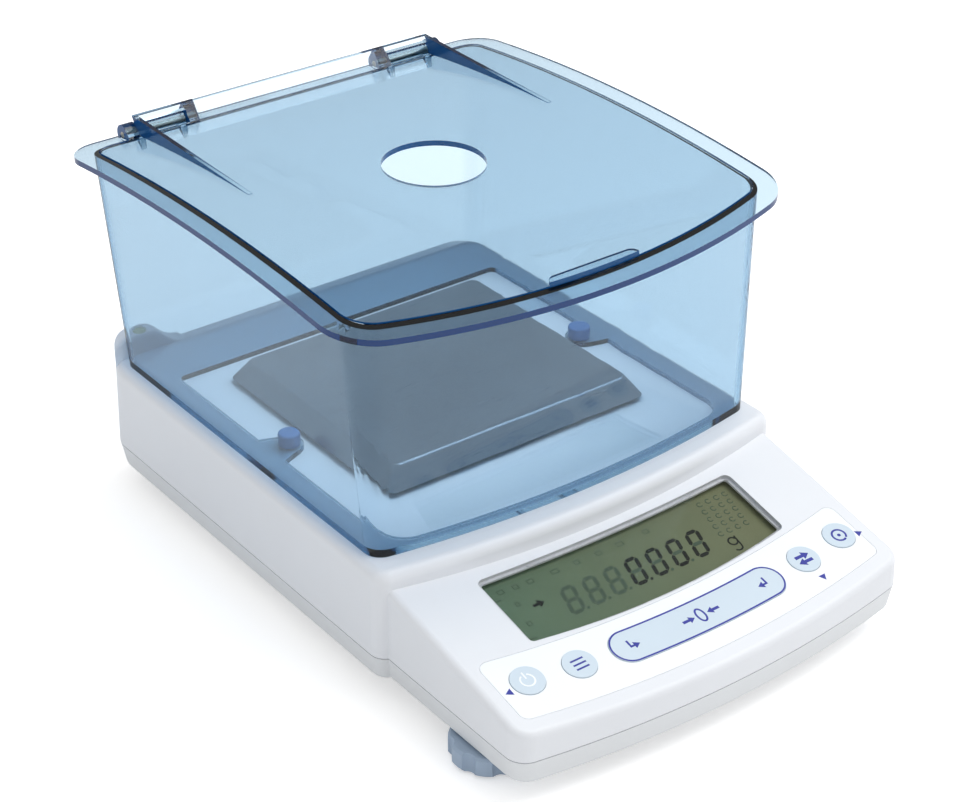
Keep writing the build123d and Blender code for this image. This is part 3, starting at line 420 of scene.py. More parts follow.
@dataclass(frozen=True)
class FlatWindow(Coat):
    """Flat clear display window with an anti-reflection coat: it only greys what lies under it."""

    colour: str = "#0C100C"
    cover: float = 0.14
    roughness: float = 0.08
    ior: float = 1.49

    def recipe(self, tree: Tree) -> Recipe:
        """Gives the shader's inputs, as its base asks."""
        return {
            "Base Color": linear(self.colour),
            "Alpha": self.cover,
            "Roughness": self.roughness,
            "IOR": self.ior,
        }, {}


@dataclass(frozen=True)
class BrushedSteel(Coat):
    """Stainless sheet ground with a belt along X: fine parallel scratches that stretch the highlights."""

    colour: str = "#8F949C"
    roughness: float = 0.3
    smoother: float = 0.08
    rougher: float = 0.1
    scratch: float = 0.35 * MM
    scratch_depth: float = 0.01 * MM
    scratch_strength: float = 0.25
    stretch: Place = (0.02, 1.0, 1.0)
    drift: float = 0.05
    patch: float = 30 * MM

    def recipe(self, tree: Tree) -> Recipe:
        """Gives the shader's inputs, as its base asks."""
        along = add(tree, "ShaderNodeMapping", {"Scale": self.stretch}, {"Vector": own_place(tree)})
        scratches = noise(tree, self.scratch, 3.0, along.outputs["Vector"])
        low, high = self.roughness - self.smoother, self.roughness + self.rougher
        return {"Metallic": 1.0}, {
            "Base Color": spot_colour(tree, self.colour, self.drift, self.patch),
            "Roughness": mapped(tree, scratches, low, high),
            "Normal": bump(tree, scratches, self.scratch_strength, self.scratch_depth),
        }


@dataclass(frozen=True)
class Polyester(Coat):
    """Screen-printed polyester film or lacquer: flat colour under a hard satin coat."""

    colour: str
    roughness: float = 0.28
    ior: float = 1.57
    drift: float = 0.008
    patch: float = 25 * MM
    ripple: float = 0.6 * MM
    ripple_height: float = 0.006 * MM
    ripple_strength: float = 0.15

    def recipe(self, tree: Tree) -> Recipe:
        """Gives the shader's inputs, as its base asks."""
        ripple = noise(tree, self.ripple)
        return {"Roughness": self.roughness, "IOR": self.ior}, {
            "Base Color": spot_colour(tree, self.colour, self.drift, self.patch),
            "Normal": bump(tree, ripple, self.ripple_strength, self.ripple_height),
        }


@dataclass(frozen=True)
class LiquidCrystal(Coat):
    """Reflective liquid crystal cell: olive polariser, greener on the left, with a faint cloud."""

    left_colour: str = "#738F75"
    right_colour: str = "#8E9370"
    half_width: float = 65 * MM
    cloud: float = 18 * MM
    cloud_spread: float = 0.1
    roughness: float = 0.4
    ior: float = 1.5
    specular: float = 0.15

    def recipe(self, tree: Tree) -> Recipe:
        """Gives the shader's inputs, as its base asks."""
        place = own_place(tree)
        parts = add(tree, "ShaderNodeSeparateXYZ", links={"Vector": place})
        across = mapped(tree, parts.outputs["X"], 0.0, 1.0, -self.half_width, self.half_width)
        cloud = noise(tree, self.cloud, place=place)
        sockets = {
            0: blend(tree, across, self.left_colour, self.right_colour),
            "Scale": mapped(tree, cloud, 1 - self.cloud_spread, 1 + self.cloud_spread),
        }
        shade = add(tree, "ShaderNodeVectorMath", links=sockets, operation="SCALE")
        values = {"Roughness": self.roughness, "IOR": self.ior, "Specular IOR Level": self.specular}
        return values, {"Base Color": shade.outputs["Vector"]}


@dataclass(frozen=True)
class Ink(Coat):
    """Printed or switched mark: one flat colour with the sheen of what it lies on."""

    colour: str
    roughness: float = 0.4
    ior: float = 1.5
    drift: float = 0.04
    patch: float = 3 * MM

    def recipe(self, tree: Tree) -> Recipe:
        """Gives the shader's inputs, as its base asks."""
        colour = spot_colour(tree, self.colour, self.drift, self.patch)
        return {"Roughness": self.roughness, "IOR": self.ior}, {"Base Color": colour}


@dataclass(frozen=True)
class Rubber(Coat):
    """Compression-moulded nitrile rubber: deep grey with a dusty, dull surface."""

    colour: str = "#26282A"
    roughness: float = 0.75
    ior: float = 1.52
    drift: float = 0.2
    patch: float = 6 * MM
    dust: float = 0.8 * MM
    dust_height: float = 0.03 * MM
    dust_strength: float = 0.4

    def recipe(self, tree: Tree) -> Recipe:
        """Gives the shader's inputs, as its base asks."""
        dust = noise(tree, self.dust)
        return {"Roughness": self.roughness, "IOR": self.ior}, {
            "Base Color": spot_colour(tree, self.colour, self.drift, self.patch),
            "Normal": bump(tree, dust, self.dust_strength, self.dust_height),
        }


@dataclass(frozen=True)
class Metal(Coat):
    """Machined or plated metal with fine tool marks."""

    colour: str
    roughness: float = 0.35
    roughness_spread: float = 0.1
    mark: float = 0.5 * MM
    drift: float = 0.06
    patch: float = 8 * MM

    def recipe(self, tree: Tree) -> Recipe:
        """Gives the shader's inputs, as its base asks."""
        marks = noise(tree, self.mark, 4.0)
        low, high = self.roughness - self.roughness_spread, self.roughness + self.roughness_spread
        return {"Metallic": 1.0}, {
            "Base Color": spot_colour(tree, self.colour, self.drift, self.patch),
            "Roughness": mapped(tree, marks, low, high),
        }


class Finish(Enum):
    """The balance's finishes, each built once."""

    UPPER_CASING = MouldedAbs("upper_casing_abs", "#E6E9EE")
    LOWER_CASING = MouldedAbs("lower_casing_abs", "#E0E3E6")
    SHIELD = ClearAcrylic("shield_acrylic", edges=EdgeRule.SHIELD)
    # The lid's cut edges get a lighter painted shade, standing in for light absorbed along the wall.
    LID = ClearAcrylic("lid_acrylic", edge_shade_colour="#1E5E9E", edges=EdgeRule.LID)
    WINDOW = FlatWindow("window_acrylic")
    PAN = BrushedSteel("pan_steel")
    KEY_FILM = Polyester("key_film", "#F2F6FB")
    KEY_FACE = Polyester("key_face", "#CBDAE6")
    CELL = LiquidCrystal("display_cell")
    DARK_SEGMENT = Ink("display_dark", "#1B2018", 0.6)
    GHOST_SEGMENT = Ink("display_ghost", "#566B57", 0.6)
    BLUE_INK = Ink("blue_ink", "#1F2A9A")
    WHITE_INK = Ink("white_ink", "#F2F7FB")
    KNOB = MouldedAbs("knob_plastic", "#9FB2C8", 0.35)
    SCREW = MouldedAbs("thumb_screw_plastic", "#3F6FA8", 0.3)
    RUBBER = Rubber("foot_rubber")
    ALLOY = Metal("milled_alloy", "#B4B6B8", 0.4)
    ZINC = Metal("zinc_plate", "#A9A9A2", 0.35)
    BOARD = Polyester("board_lacquer", "#1F5A36", 0.35)
    BLACK_PLASTIC = MouldedAbs("black_plastic", "#1B1C1E", 0.5)
    RIBBON = Polyester("ribbon_grey", "#B9BCC0", 0.4)
    VIAL = ClearAcrylic("vial_glass", "#DDE6A8", 60.0, "#E6ECC8", roughness=0.01)

    def material(self) -> bpy.types.Material:
        """The finish's material, built at its first use.

        Returns:
            The material.
        """
        known = bpy.data.materials.get(self.value.name)
        return known or self.value.build()


class Slot(Enum):
    """Material slot names of the record; nothing in the script reads them."""

    KEYS = "key_white"
    CELL = "lcd"


def dress(node: str, finish: Finish) -> None:
    """Gives a node of the frame its material.

    Args:
        node: The node's name.
        finish: The finish it gets.
    """
    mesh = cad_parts[node].data
    if not mesh.materials:
        mesh.materials.append(finish.material())
    for index in range(len(mesh.materials)):
        mesh.materials[index] = finish.material()
    LOG.info("dressed %s in %s", node, finish.value.name)


def new_piece(name: str, points: Array, faces: list, finish: Finish, body: str) -> None:
    """Turns points and faces into a flat-shaded piece of the balance that rides on a body.

    Args:
        name: The piece's name.
        points: Places as an array of shape (n, 3), in metres.
        faces: Lists of point numbers, each facing outwards.
        finish: The finish it gets.
        body: The body it moves with.
    """
    mesh = bpy.data.meshes.new(name)
    mesh.from_pydata(np.asarray(points, float).tolist(), [], [list(map(int, f)) for f in faces])
    mesh.update()
    mesh.polygons.foreach_set("use_smooth", np.zeros(len(mesh.polygons), bool))
    mesh.materials.append(finish.material())
    piece = bpy.data.objects.new(name, mesh)
    bpy.context.scene.collection.objects.link(piece)
    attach(piece, body)
    LOG.info("built %s on %s: %d faces", name, body, len(mesh.polygons))


@dataclass(frozen=True)
class ConsoleFace:
    """The sloping face of the console, with u across it, v up its slope and w out of it."""

    front_y: float
    front_z: float = 31.7 * MM
    slope: float = math.radians(12.8)

    def place(self, flat: Array, height: float = 0.0) -> Array:
        """Carries points on the face into the frame's axes.

        The point is the front edge's middle, plus v along the slope and the height along its normal.

        Args:
            flat: Array of shape (n, 2) with u and v in metres.
            height: How far above the face they lie.

        Returns:
            Array of shape (n, 3).
        """
        u, v = flat[:, 0], flat[:, 1]
        sin, cos = math.sin(self.slope), math.cos(self.slope)
        y = self.front_y + v * cos - height * sin
        return np.stack([u, y, self.front_z + v * sin + height * cos], axis=1)


def band(first: int, second: int, count: int) -> list:
    """Quads between two closed rings with the same number of points.

    Args:
        first: Number of the first ring's first point.
        second: Number of the second ring's first point.
        count: Points on each ring.

    Returns:
        The quads.
    """
    here = np.arange(count)
    after = np.roll(here, -1)
    return np.stack([first + here, first + after, second + after, second + here], axis=1).tolist()


def prism(outlines: list[Array], face: ConsoleFace, low: float, high: float) -> tuple[Array, list]:
    """Thin plates over closed outlines on the console's face.

    Each outline gives a ring of points at both heights, a top, a bottom and a wall of quads.

    Args:
        outlines: Arrays of shape (n, 2), each running anticlockwise.
        face: The console's face.
        low: Height of the underside above the face.
        high: Height of the top above the face.

    Returns:
        The points and the faces.
    """
    points, faces, start = [], [], 0
    for outline in outlines:
        n = len(outline)
        points += [face.place(outline, low), face.place(outline, high)]
        here = np.arange(n)
        faces += [(start + n + here).tolist(), (start + here[::-1]).tolist()]
        faces += band(start, start + n, n)
        start += 2 * n
    return np.concatenate(points), faces


def ring_plate(
    outer: Array, inner: Array, face: ConsoleFace, low: float, high: float
) -> tuple[Array, list]:
    """Thin flat ring between two outlines with the same number of points.

    The four rings of points, outer low, outer high, inner high and inner low, are joined by quads.

    Args:
        outer: Outer outline, anticlockwise, of shape (n, 2).
        inner: Inner outline, point for point inside the outer one.
        face: The console's face.
        low: Height of the underside above the face.
        high: Height of the top above the face.

    Returns:
        The points and the faces.
    """
    n = len(outer)
    rings = [face.place(outer, low), face.place(outer, high), face.place(inner, high), face.place(inner, low)]
    faces: list = []
    for k in range(len(rings)):
        faces += band(k * n, ((k + 1) % len(rings)) * n, n)
    return np.concatenate(rings), faces


def stroke(path: Array, width: float) -> Array:
    """Outline of a line of constant width along a path.

    Each point moves half the width along the mean normal of its two runs, out on one side and back on
    the other, so corners are mitred.

    Args:
        path: Array of shape (n, 2).
        width: The line's width.

    Returns:
        A closed outline, anticlockwise, of shape (2n, 2).
    """
    sharpest = 0.35
    runs = np.diff(path, axis=0)
    runs /= np.linalg.norm(runs, axis=1, keepdims=True)
    ahead = np.concatenate([runs, runs[-1:]])
    behind = np.concatenate([runs[:1], runs])
    mean = ahead + behind
    mean /= np.linalg.norm(mean, axis=1, keepdims=True)
    normal = np.stack([-mean[:, 1], mean[:, 0]], axis=1)
    stretch = 1 / np.maximum(sharpest, (mean * ahead).sum(axis=1, keepdims=True))
    offset = normal * stretch * width / 2
    return np.concatenate([path - offset, (path + offset)[::-1]])


def arc(centre: Pair, radius: float, start: float, end: float, count: int) -> Array:
    """Points on an arc, the centre plus the radius times cosine and sine of the angle.

    Args:
        centre: The arc's centre.
        radius: Its radius.
        start: First angle in degrees.
        end: Last angle in degrees.
        count: Number of points.

    Returns:
        Array of shape (count, 2).
    """
    angle = np.radians(np.linspace(start, end, count))
    return np.stack([centre[0] + radius * np.cos(angle), centre[1] + radius * np.sin(angle)], axis=1)


@dataclass
class Readout:
    """The display: its cell, the seven-segment figures, small marks and the window over them."""

    face: ConsoleFace
    cell_depth: float = 4.3 * MM
    cell_gap: float = 0.02 * MM
    thickness: float = 0.06 * MM
    shown: str = "---0000"
    point_after: int = 3
    middle_bar: int = 6
    pitch: float = 10.8 * MM
    figure_height: float = 14.4 * MM
    figure_width: float = 7.3 * MM
    bar: float = 1.8 * MM
    bar_gap: float = 0.18 * MM
    slant: float = math.tan(math.radians(14))
    first_u: float = -39.6 * MM
    base_v: float = 52.3 * MM
    dot_radius: float = 0.75 * MM
    dot_step: float = 0.9 * MM
    idle_line: float = 0.35 * MM
    arrow_place: Pair = (-45.0 * MM, 64.2 * MM)
    box_height: float = 2.0
    boxes: tuple[Place, ...] = (
        (-57, 76.5, 2.6), (-50, 76.0, 2.2), (-43, 75.6, 2.6), (-31, 75.2, 3.2), (-20, 75.0, 2.4),
        (-9, 74.8, 2.6), (2, 74.8, 3.0), (16, 75.2, 2.6), (-55, 68, 1.6), (-57, 57.5, 1.8),
    )
    grid_rows: int = 5
    grid_columns: int = 4
    grid_start: Pair = (43.0, 59.0)
    grid_step: Pair = (4.6, 4.4)
    grid_lean: float = 0.8
    grid_radius: float = 1.2 * MM
    gauge_ends: Pair = (-64.0, -59.0)
    gauge_heights: Pair = (50.5, 73.0)
    gauge_line: float = 0.5 * MM
    unit_radius: float = 2.0 * MM
    unit_line: float = 0.75 * MM
    bowl_centre: Pair = (44.6 * MM, 53.4 * MM)
    hook_centre: Pair = (44.4 * MM, 50.0 * MM)

    def bar_outline(self, centre: Pair, length: float, upright: bool) -> Array:
        """Outline of one bar of a figure: a strip with pointed ends, before the slant.

        Args:
            centre: The bar's middle in the figure's own place.
            length: Its length, gaps included.
            upright: Whether it stands.

        Returns:
            Array of shape (6, 2).
        """
        half, tip = self.bar / 2, length / 2 - self.bar_gap
        lower = [(-tip, 0), (-tip + half, -half), (tip - half, -half)]
        upper = [(tip, 0), (tip - half, half), (-tip + half, half)]
        shape = np.array(lower + upper)
        if upright:
            shape = shape[:, ::-1] * np.array([-1, 1])
        return shape + np.array(centre)

    def figure_bars(self) -> list[Array]:
        """The seven bars of one figure in the order top, right pair, bottom, left pair, middle.

        Returns:
            Their outlines.
        """
        width, height = self.figure_width - self.bar, self.figure_height - self.bar
        half = height / 2
        x0, x1, y0 = self.bar / 2, self.bar / 2 + width, self.bar / 2
        return [
            self.bar_outline(((x0 + x1) / 2, y0 + height), width, False),
            self.bar_outline((x1, y0 + half * 1.5), half, True),
            self.bar_outline((x1, y0 + half * 0.5), half, True),
            self.bar_outline(((x0 + x1) / 2, y0), width, False),
            self.bar_outline((x0, y0 + half * 0.5), half, True),
            self.bar_outline((x0, y0 + half * 1.5), half, True),
            self.bar_outline(((x0 + x1) / 2, y0 + half), width, False),
        ]

    def leaned(self, outline: Array, origin: Pair) -> Array:
        """An outline slanted to the right and moved to its place on the face.

        Args:
            outline: Array of shape (n, 2).
            origin: Where the figure's lower left corner goes.

        Returns:
            Array of shape (n, 2).
        """
        lean = outline[:, 1] * self.slant
        return np.stack([outline[:, 0] + lean + origin[0], outline[:, 1] + origin[1]], axis=1)

    def figures(self) -> tuple[list[Array], list[Array]]:
        """The outlines of all figures. A nought lights every bar but the middle one.

        Returns:
            The dark outlines and the idle ones.
        """
        dark: list[Array] = []
        idle: list[Array] = []
        dot = arc((self.figure_width + self.dot_step, self.dot_radius), self.dot_radius, 0, 315, 8)
        for index, sign in enumerate(self.shown):
            origin = (self.first_u + index * self.pitch, self.base_v)
            for number, bar in enumerate(self.figure_bars()):
                lit = sign == "0" and number < self.middle_bar
                (dark if lit else idle).append(self.leaned(bar, origin))
            if index < len(self.shown) - 1:
                (dark if index == self.point_after else idle).append(self.leaned(dot, origin))
        return dark, idle

    def marks(self) -> tuple[list[Array], list[Array]]:
        """Small plain marks around the figures: an arrow, rows of boxes, open rings and a gauge's ends.

        Returns:
            The dark outlines and the idle ones.
        """
        shaft = np.array([(-5.2, -0.7), (-2.4, -0.7), (-2.4, 0.7), (-5.2, 0.7)]) * MM
        head = np.array([(-2.6, -2.2), (0.4, 0.0), (-2.6, 2.2)]) * MM
        here = np.array(self.arrow_place)
        idle: list[Array] = []
        tall = self.box_height / 2
        for u, v, wide in self.boxes:
            box = np.array([(-wide / 2, -tall), (wide / 2, -tall), (wide / 2, tall), (-wide / 2, tall)])
            closed = np.concatenate([box, box[:1]]) * MM + np.array([u, v]) * MM
            idle.append(stroke(closed, self.idle_line))
        for row in range(self.grid_rows):
            for column in range(self.grid_columns):
                u = self.grid_start[0] + self.grid_step[0] * column + self.grid_lean * row
                v = self.grid_start[1] + self.grid_step[1] * row
                ring = arc((u * MM, v * MM), self.grid_radius, 40, 320, 9)
                idle.append(stroke(ring, self.idle_line))
        for v in self.gauge_heights:
            idle.append(stroke(np.array([(u, v) for u in self.gauge_ends]) * MM, self.gauge_line))
        return [shaft + here, head + here], idle

    def unit_sign(self) -> list[Array]:
        """The gram sign to the right of the figures, as two strokes.

        Returns:
            Their outlines.
        """
        bowl = arc(self.bowl_centre, self.unit_radius, 20, 340, 18)
        stem = np.array([[46.9, 55.6], [46.5, 50.2]]) * MM
        tail = np.concatenate([stem, arc(self.hook_centre, self.unit_radius, -10, -150, 10)])
        return [stroke(bowl, self.unit_line), stroke(tail, self.unit_line)]

    def build(self) -> None:
        """Builds the figures and marks just above the cell and dresses the cell and the window."""
        low = -self.cell_depth + self.cell_gap
        dark, idle = self.figures()
        more_dark, more_idle = self.marks()
        for name, outlines, finish in (
            ("display_figures", dark + more_dark + self.unit_sign(), Finish.DARK_SEGMENT),
            ("display_idle_marks", idle + more_idle, Finish.GHOST_SEGMENT),
        ):
            points, faces = prism(outlines, self.face, low, low + self.thickness)
            new_piece(name, points, faces, finish, "casing")
        dress("display_panel", Finish.CELL)
        dress("display_window", Finish.WINDOW)
        dress("display_frame", Finish.BLACK_PLASTIC)


@dataclass
class Keyboard:
    """The key strip, its keys and the plain signs printed on them."""

    face: ConsoleFace
    row_v: float = 24.9 * MM
    bow: float = 500 * MM
    shift: float = 2.0 * MM
    outer_u: float = 80.5 * MM
    inner_u: float = 58.0 * MM
    key_top: float = 0.4 * MM
    ink: float = 0.03 * MM
    tare_length: float = 87.2 * MM
    tare_width: float = 16.4 * MM
    tare_end_points: int = 24
    line: float = 0.75 * MM
    line_inset: float = 0.12 * MM
    neck_share: float = 0.45
    shaft_share: float = 0.11
    head_share: float = 2.6
    nought_half: Pair = (1.8 * MM, 3.3 * MM)
    nought_line: float = 0.85 * MM
    nought_arrow: float = 6.0 * MM
    nought_gap: float = 3.2 * MM
    hook_u: float = 35.0 * MM
    hook_line: float = 0.9 * MM
    power_radius: float = 2.9 * MM
    power_line: float = 0.7 * MM
    menu_rows: Place = (-2.2, 0.0, 2.2)
    menu_line: float = 0.8 * MM
    swap_arrow: float = 7.2 * MM
    swap_reach: float = 3.8 * MM
    swap_rise: float = 1.6 * MM
    circle_radius: float = 3.0 * MM
    circle_line: float = 0.9 * MM
    dot_radius: float = 0.8 * MM
    triangle_radius: float = 2.0 * MM
    triangles: tuple[Place, ...] = ((-87.9, 30.0, 180), (60.5, 17.0, -90), (91.0, 28.6, 0))

    def centre(self, u: float) -> Pair:
        """Place of a key a distance across from the middle of the row.

        Args:
            u: The distance, to the right.

        Returns:
            Its place on the face.
        """
        return (u + self.shift, self.row_v + self.bow - math.sqrt(self.bow**2 - u**2))

    def lozenge(self, inset: float) -> Array:
        """Outline of the long key: two half circles joined by strips that follow the row's bow.

        The angle runs once round. On each end the outline is a half circle, and between them it is the
        row's arc moved out by half the key's width.

        Args:
            inset: How far inside the key's edge it lies.

        Returns:
            Array of shape (n, 2), anticlockwise, with a quarter of its points on each end and strip.
        """
        count = self.tare_end_points
        half = self.tare_width / 2 - inset
        end = self.tare_length / 2 - self.tare_width / 2
        tilt = math.degrees(math.asin(end / self.bow))
        right = arc(self.centre(end), half, -90 + tilt, 90 + tilt, count)
        left = arc(self.centre(-end), half, 90 - tilt, 270 - tilt, count)
        u = np.linspace(end, -end, count + 2)[1:-1]
        v = self.row_v + self.bow - np.sqrt(self.bow**2 - u**2)
        tilted = u / self.bow
        top = np.stack([u - np.sin(tilted) * half + self.shift, v + np.cos(tilted) * half], axis=1)
        bottom = np.stack([u + np.sin(tilted) * half + self.shift, v - np.cos(tilted) * half], axis=1)
        return np.concatenate([right, top, left, bottom[::-1]])

    def print_shapes(self, name: str, outlines: list[Array], finish: Finish, body: str) -> None:
        """Prints flat shapes on a key or on the film.

        Args:
            name: The piece's name.
            outlines: Closed outlines on the face.
            finish: The ink.
            body: The body that carries it.
        """
        height = self.key_top if body != "casing" else 0.0
        points, faces = prism(outlines, self.face, height, height + self.ink)
        new_piece(name, points, faces, finish, body)

    def arrow(self, tip: Pair, angle: float, length: float) -> list[Array]:
        """A short solid arrow.

        Args:
            tip: Where it ends.
            angle: Where it points, in degrees.
            length: Its length.

        Returns:
            The outlines of its shaft and its head.
        """
        turn = np.radians(angle)
        along = np.array([np.cos(turn), np.sin(turn)])
        across = np.array([-along[1], along[0]])
        end = np.array(tip)
        neck = end - along * length * self.neck_share
        tail = end - along * length
        side = across * (length * self.shaft_share)
        wing = side * self.head_share
        shaft = np.array([tail - side, neck - side, neck + side, tail + side])
        return [shaft, np.array([neck - wing, end, neck + wing])]

    def tare_signs(self) -> list[Array]:
        """Two arrows towards a nought in the middle, and a hooked arrow at each end.

        Returns:
            Their outlines.
        """
        u0, v0 = self.centre(0)
        signs: list[Array] = []
        for side, angle in ((-1, 0), (1, 180)):
            signs += self.arrow((u0 + side * self.nought_gap, v0), angle, self.nought_arrow)
        turn = np.linspace(0, 2 * np.pi, 25)
        wide, tall = self.nought_half
        oval = np.stack([u0 + wide * np.cos(turn), v0 + tall * np.sin(turn)], axis=1)
        signs.append(stroke(oval, self.nought_line))
        for side in (-1, 1):
            hook = np.array(self.centre(side * self.hook_u))
            drop = np.array([[0.0, 2.6], [0.0, -0.8], [-1.8 * side, -0.8]]) * MM
            signs.append(stroke(hook + drop, self.hook_line))
            head = np.array([[-1.6, -2.5], [-4.4, -0.8], [-1.6, 0.9]]) * MM
            head[:, 0] *= side
            signs.append(hook + (head if side == 1 else head[::-1]))
        return signs

    def power_sign(self) -> list[Array]:
        """An open ring with a bar in its gap.

        Returns:
            Their outlines.
        """
        centre = self.centre(-self.outer_u)
        ring = stroke(arc(centre, self.power_radius, 115, 425, 30), self.power_line)
        bar = np.array([[0.0, 0.8], [0.0, 4.2]]) * MM + np.array(centre)
        return [ring, stroke(bar, self.power_line)]

    def menu_sign(self) -> list[Array]:
        """Three level bars.

        Returns:
            Their outlines.
        """
        centre = np.array(self.centre(-self.inner_u))
        bars = [np.array([[-3.0, v], [3.0, v]]) * MM + centre for v in self.menu_rows]
        return [stroke(bar, self.menu_line) for bar in bars]

    def swap_sign(self) -> list[Array]:
        """Two arrows that pass each other.

        Returns:
            Their outlines.
        """
        u, v = self.centre(self.inner_u)
        signs = self.arrow((u + self.swap_reach, v + self.swap_rise), 0, self.swap_arrow)
        return signs + self.arrow((u - self.swap_reach, v - self.swap_rise), 180, self.swap_arrow)

    def circle_sign(self) -> list[Array]:
        """A nearly closed ring around a dot.

        Returns:
            Their outlines.
        """
        centre = self.centre(self.outer_u)
        ring = stroke(arc(centre, self.circle_radius, -50, 300, 30), self.circle_line)
        return [ring, arc(centre, self.dot_radius, 0, 330, 12)]

    def triangle(self, u: float, v: float, angle: float) -> Array:
        """A small solid triangle.

        Args:
            u: Its middle across the face, in millimetres.
            v: Its middle up the face, in millimetres.
            angle: Where it points, in degrees.

        Returns:
            Array of shape (3, 2).
        """
        turn = np.radians(angle + np.array([0, 120, 240]))
        shape = self.triangle_radius * np.stack([np.cos(turn), np.sin(turn)], axis=1)
        return np.array([u * MM, v * MM]) + shape

    def build(self) -> None:
        """Dresses the strip and the keys and prints their signs."""
        dress("key_strip", Finish.KEY_FILM)
        for key in ("power_key", "menu_key", "tare_key", "unit_key", "print_key"):
            dress(key, Finish.KEY_FACE)
        outer, inner = self.lozenge(self.line_inset), self.lozenge(self.line_inset + self.line)
        points, faces = ring_plate(outer, inner, self.face, self.key_top, self.key_top + self.ink)
        new_piece("tare_key_line", points, faces, Finish.BLUE_INK, "tare_key")
        for name, outlines, finish, body in (
            ("tare_key_signs", self.tare_signs(), Finish.BLUE_INK, "tare_key"),
            ("power_key_sign", self.power_sign(), Finish.WHITE_INK, "power_key"),
            ("menu_key_sign", self.menu_sign(), Finish.BLUE_INK, "menu_key"),
            ("unit_key_sign", self.swap_sign(), Finish.BLUE_INK, "unit_key"),
            ("print_key_sign", self.circle_sign(), Finish.BLUE_INK, "print_key"),
            ("strip_marks", [self.triangle(*mark) for mark in self.triangles], Finish.BLUE_INK, "casing"),
        ):
            self.print_shapes(name, outlines, finish, body)


@dataclass
class Casing:
    """The upper and lower casing with the level, the feet and everything inside."""

    inner: dict[Finish, tuple[str, ...]] = field(
        default_factory=lambda: {
            Finish.ALLOY: ("pan_carrier", "carrier_arm", "load_cell", "base_frame"),
            Finish.ZINC: (
                "load_cell_spacers", "sensor_bolts", "frame_screws",
                "casing_screws", "board_screws", "display_screws",
                "level_stud_left", "level_stud_right",
            ),
            Finish.BOARD: ("main_board", "display_board"),
            Finish.BLACK_PLASTIC: ("board_parts", "power_inlet", "data_port", "key_switches"),
            Finish.RIBBON: ("ribbon",),
            Finish.RUBBER: ("rear_feet", "foot_pad_left", "foot_pad_right", "pan_cushions"),
            Finish.KNOB: ("level_knob_left", "level_knob_right"),
        }
    )

    def build(self) -> None:
        """Dresses every node of the casing."""
        dress("upper_casing", Finish.UPPER_CASING)
        dress("lower_casing", Finish.LOWER_CASING)
        dress("level_vial", Finish.VIAL)
        for finish, nodes in self.inner.items():
            for node in nodes:
                dress(node, finish)


class DraftShield:
    """The blue shield with its lid, hinge pins and thumb screws."""

    def build(self) -> None:
        """Dresses the shield, the lid, the pins and the screws."""
        dress("draft_shield", Finish.SHIELD)
        dress("shield_lid", Finish.LID)
        dress("hinge_pins", Finish.ZINC)
        for side in ("left", "right"):
            dress(f"shield_screw_{side}", Finish.SCREW)


class Pan:
    """The weighing pan."""

    def build(self) -> None:
        """Dresses the pan."""
        dress("weighing_pan", Finish.PAN)


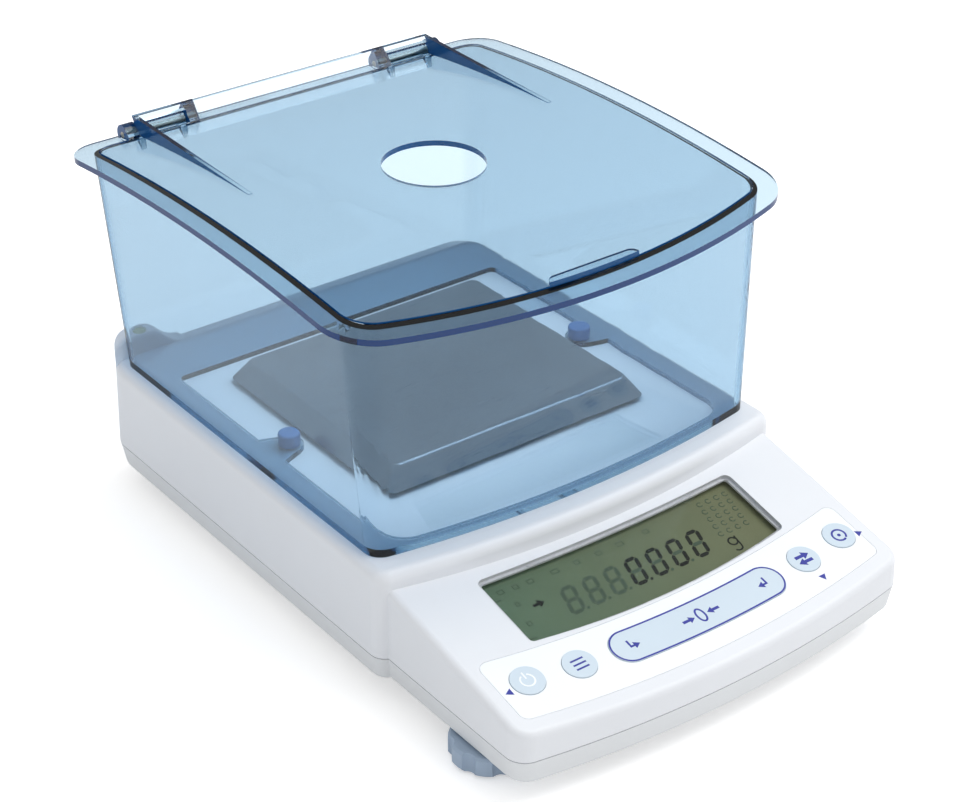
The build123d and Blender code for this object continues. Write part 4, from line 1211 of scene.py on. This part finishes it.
@dataclass
class Studio:
    """White floor, white surroundings, a soft lamp to the right, a weak one in the chamber, the camera."""

    focal: float = 86.59
    sensor: float = 36.0
    nearest: float = 0.01
    eye: Place = (-0.5129, -0.6783, 0.5759)
    heading: float = 37.021
    down: float = 30.640
    floor_size: float = 6.0
    floor_points: int = 5
    floor_colour: str = "#F6F6F6"
    floor_glow: float = 0.42
    sky: float = 0.72
    mirrored_sky: float = 0.35
    target: Place = (0.0, 0.04, 0.06)
    lamp_place: Place = (0.75, -0.28, 1.5)
    lamp_size: float = 1.4
    lamp_power: float = 16.5
    fill_place: Place = (0.0, 0.04, 0.154)
    fill_size: float = 0.15
    fill_power: float = 0.09
    bounces: int = 16
    clear_bounces: int = 14
    shadow_bounces: int = 24

    def camera(self) -> None:
        """Places the camera where the photograph was taken from."""
        data = bpy.data.cameras.new("camera")
        data.lens = self.focal
        data.sensor_width = self.sensor
        data.clip_start = self.nearest
        camera = bpy.data.objects.new("camera", data)
        camera.location = self.eye
        camera.rotation_euler = (math.radians(90 - self.down), 0.0, math.radians(-self.heading))
        bpy.context.scene.collection.objects.link(camera)
        bpy.context.scene.camera = camera
        LOG.info("camera at %s", self.eye)

    def seen(self, tree: Tree, path: bpy.types.Node) -> Socket:
        """One for what the camera sees, straight or through clear pieces, nought for all other light.

        Args:
            tree: The node tree.
            path: Its light path node.

        Returns:
            A number socket.
        """
        return reckon(tree, "MAXIMUM", path.outputs["Is Camera Ray"], path.outputs["Is Transmission Ray"])

    def floor(self) -> None:
        """Lays the white floor, with a glow that only the camera and rays through clear pieces see."""
        count = self.floor_points
        half = self.floor_size / 2
        grid = np.linspace(-half, half, count)
        x, y = np.meshgrid(grid, grid)
        points = np.stack([x.ravel(), y.ravel(), np.zeros(x.size)], axis=1)
        i, j = np.meshgrid(np.arange(count - 1), np.arange(count - 1))
        low = (j * count + i).ravel()
        faces = np.stack([low, low + 1, low + count + 1, low + count], axis=1)
        mesh = bpy.data.meshes.new("floor")
        mesh.from_pydata(points.tolist(), [], faces.tolist())
        material, tree, out = blank("floor_white")
        paint = add(tree, "ShaderNodeBsdfDiffuse", {"Color": linear(self.floor_colour)})
        path = add(tree, "ShaderNodeLightPath")
        lift = reckon(tree, "MULTIPLY", self.seen(tree, path), self.floor_glow)
        glow = add(tree, "ShaderNodeEmission", links={"Strength": lift})
        both = add(tree, "ShaderNodeAddShader", links={0: paint.outputs["BSDF"], 1: glow.outputs["Emission"]})
        tree.links.new(both.outputs["Shader"], out.inputs["Surface"])
        mesh.materials.append(material)
        floor = bpy.data.objects.new("floor", mesh)
        bpy.context.scene.collection.objects.link(floor)

    def surroundings(self) -> None:
        """Makes the world white to the camera and through clear pieces, dim in mirrors, even elsewhere."""
        world = bpy.data.worlds.new("surroundings")
        world.use_nodes = True
        tree = world.node_tree
        tree.nodes.clear()
        out = add(tree, "ShaderNodeOutputWorld")
        path = add(tree, "ShaderNodeLightPath")
        unseen = mapped(tree, path.outputs["Is Glossy Ray"], self.sky, self.mirrored_sky)
        strength = reckon(tree, "MAXIMUM", unseen, self.seen(tree, path))
        light = add(tree, "ShaderNodeBackground", {"Color": linear(WHITE)}, {"Strength": strength})
        tree.links.new(light.outputs["Background"], out.inputs["Surface"])
        bpy.context.scene.world = world

    def lamp(self, name: str, place: Place, size: float, power: float) -> bpy.types.Object:
        """Hangs one soft square lamp that shines at the middle of the balance.

        Args:
            name: The lamp's name.
            place: Where it hangs.
            size: Its side.
            power: Its power in watts.

        Returns:
            The lamp.
        """
        data = bpy.data.lights.new(name, "AREA")
        data.shape = "SQUARE"
        data.size = size
        data.energy = power
        lamp = bpy.data.objects.new(name, data)
        lamp.location = place
        aim = Vector(self.target) - Vector(place)
        lamp.rotation_euler = aim.to_track_quat("-Z", "Y").to_euler()
        lamp.visible_camera = False
        bpy.context.scene.collection.objects.link(lamp)
        return lamp

    def fill(self) -> None:
        """Lifts the light inside the chamber, which the tinted walls dim more than a studio's flash does."""
        fill = self.lamp("chamber_fill", self.fill_place, self.fill_size, self.fill_power)
        fill.visible_glossy = False
        fill.visible_transmission = False

    def build(self) -> None:
        """Sets up the camera, the floor, the surroundings and both lamps."""
        self.camera()
        self.floor()
        self.surroundings()
        self.lamp("lamp", self.lamp_place, self.lamp_size, self.lamp_power)
        self.fill()
        scene = bpy.context.scene
        scene.view_settings.view_transform = "Standard"
        scene.cycles.max_bounces = self.bounces
        scene.cycles.transmission_bounces = self.clear_bounces
        scene.cycles.transparent_max_bounces = self.shadow_bounces
        LOG.info("studio ready")


def main() -> None:
    """Builds the camera first, then each sub-assembly."""
    Studio().build()
    front_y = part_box("upper_casing")[0].y
    face = ConsoleFace(front_y)
    Casing().build()
    Readout(face).build()
    Keyboard(face).build()
    Pan().build()
    DraftShield().build()


if __name__ == "__main__":
    main()
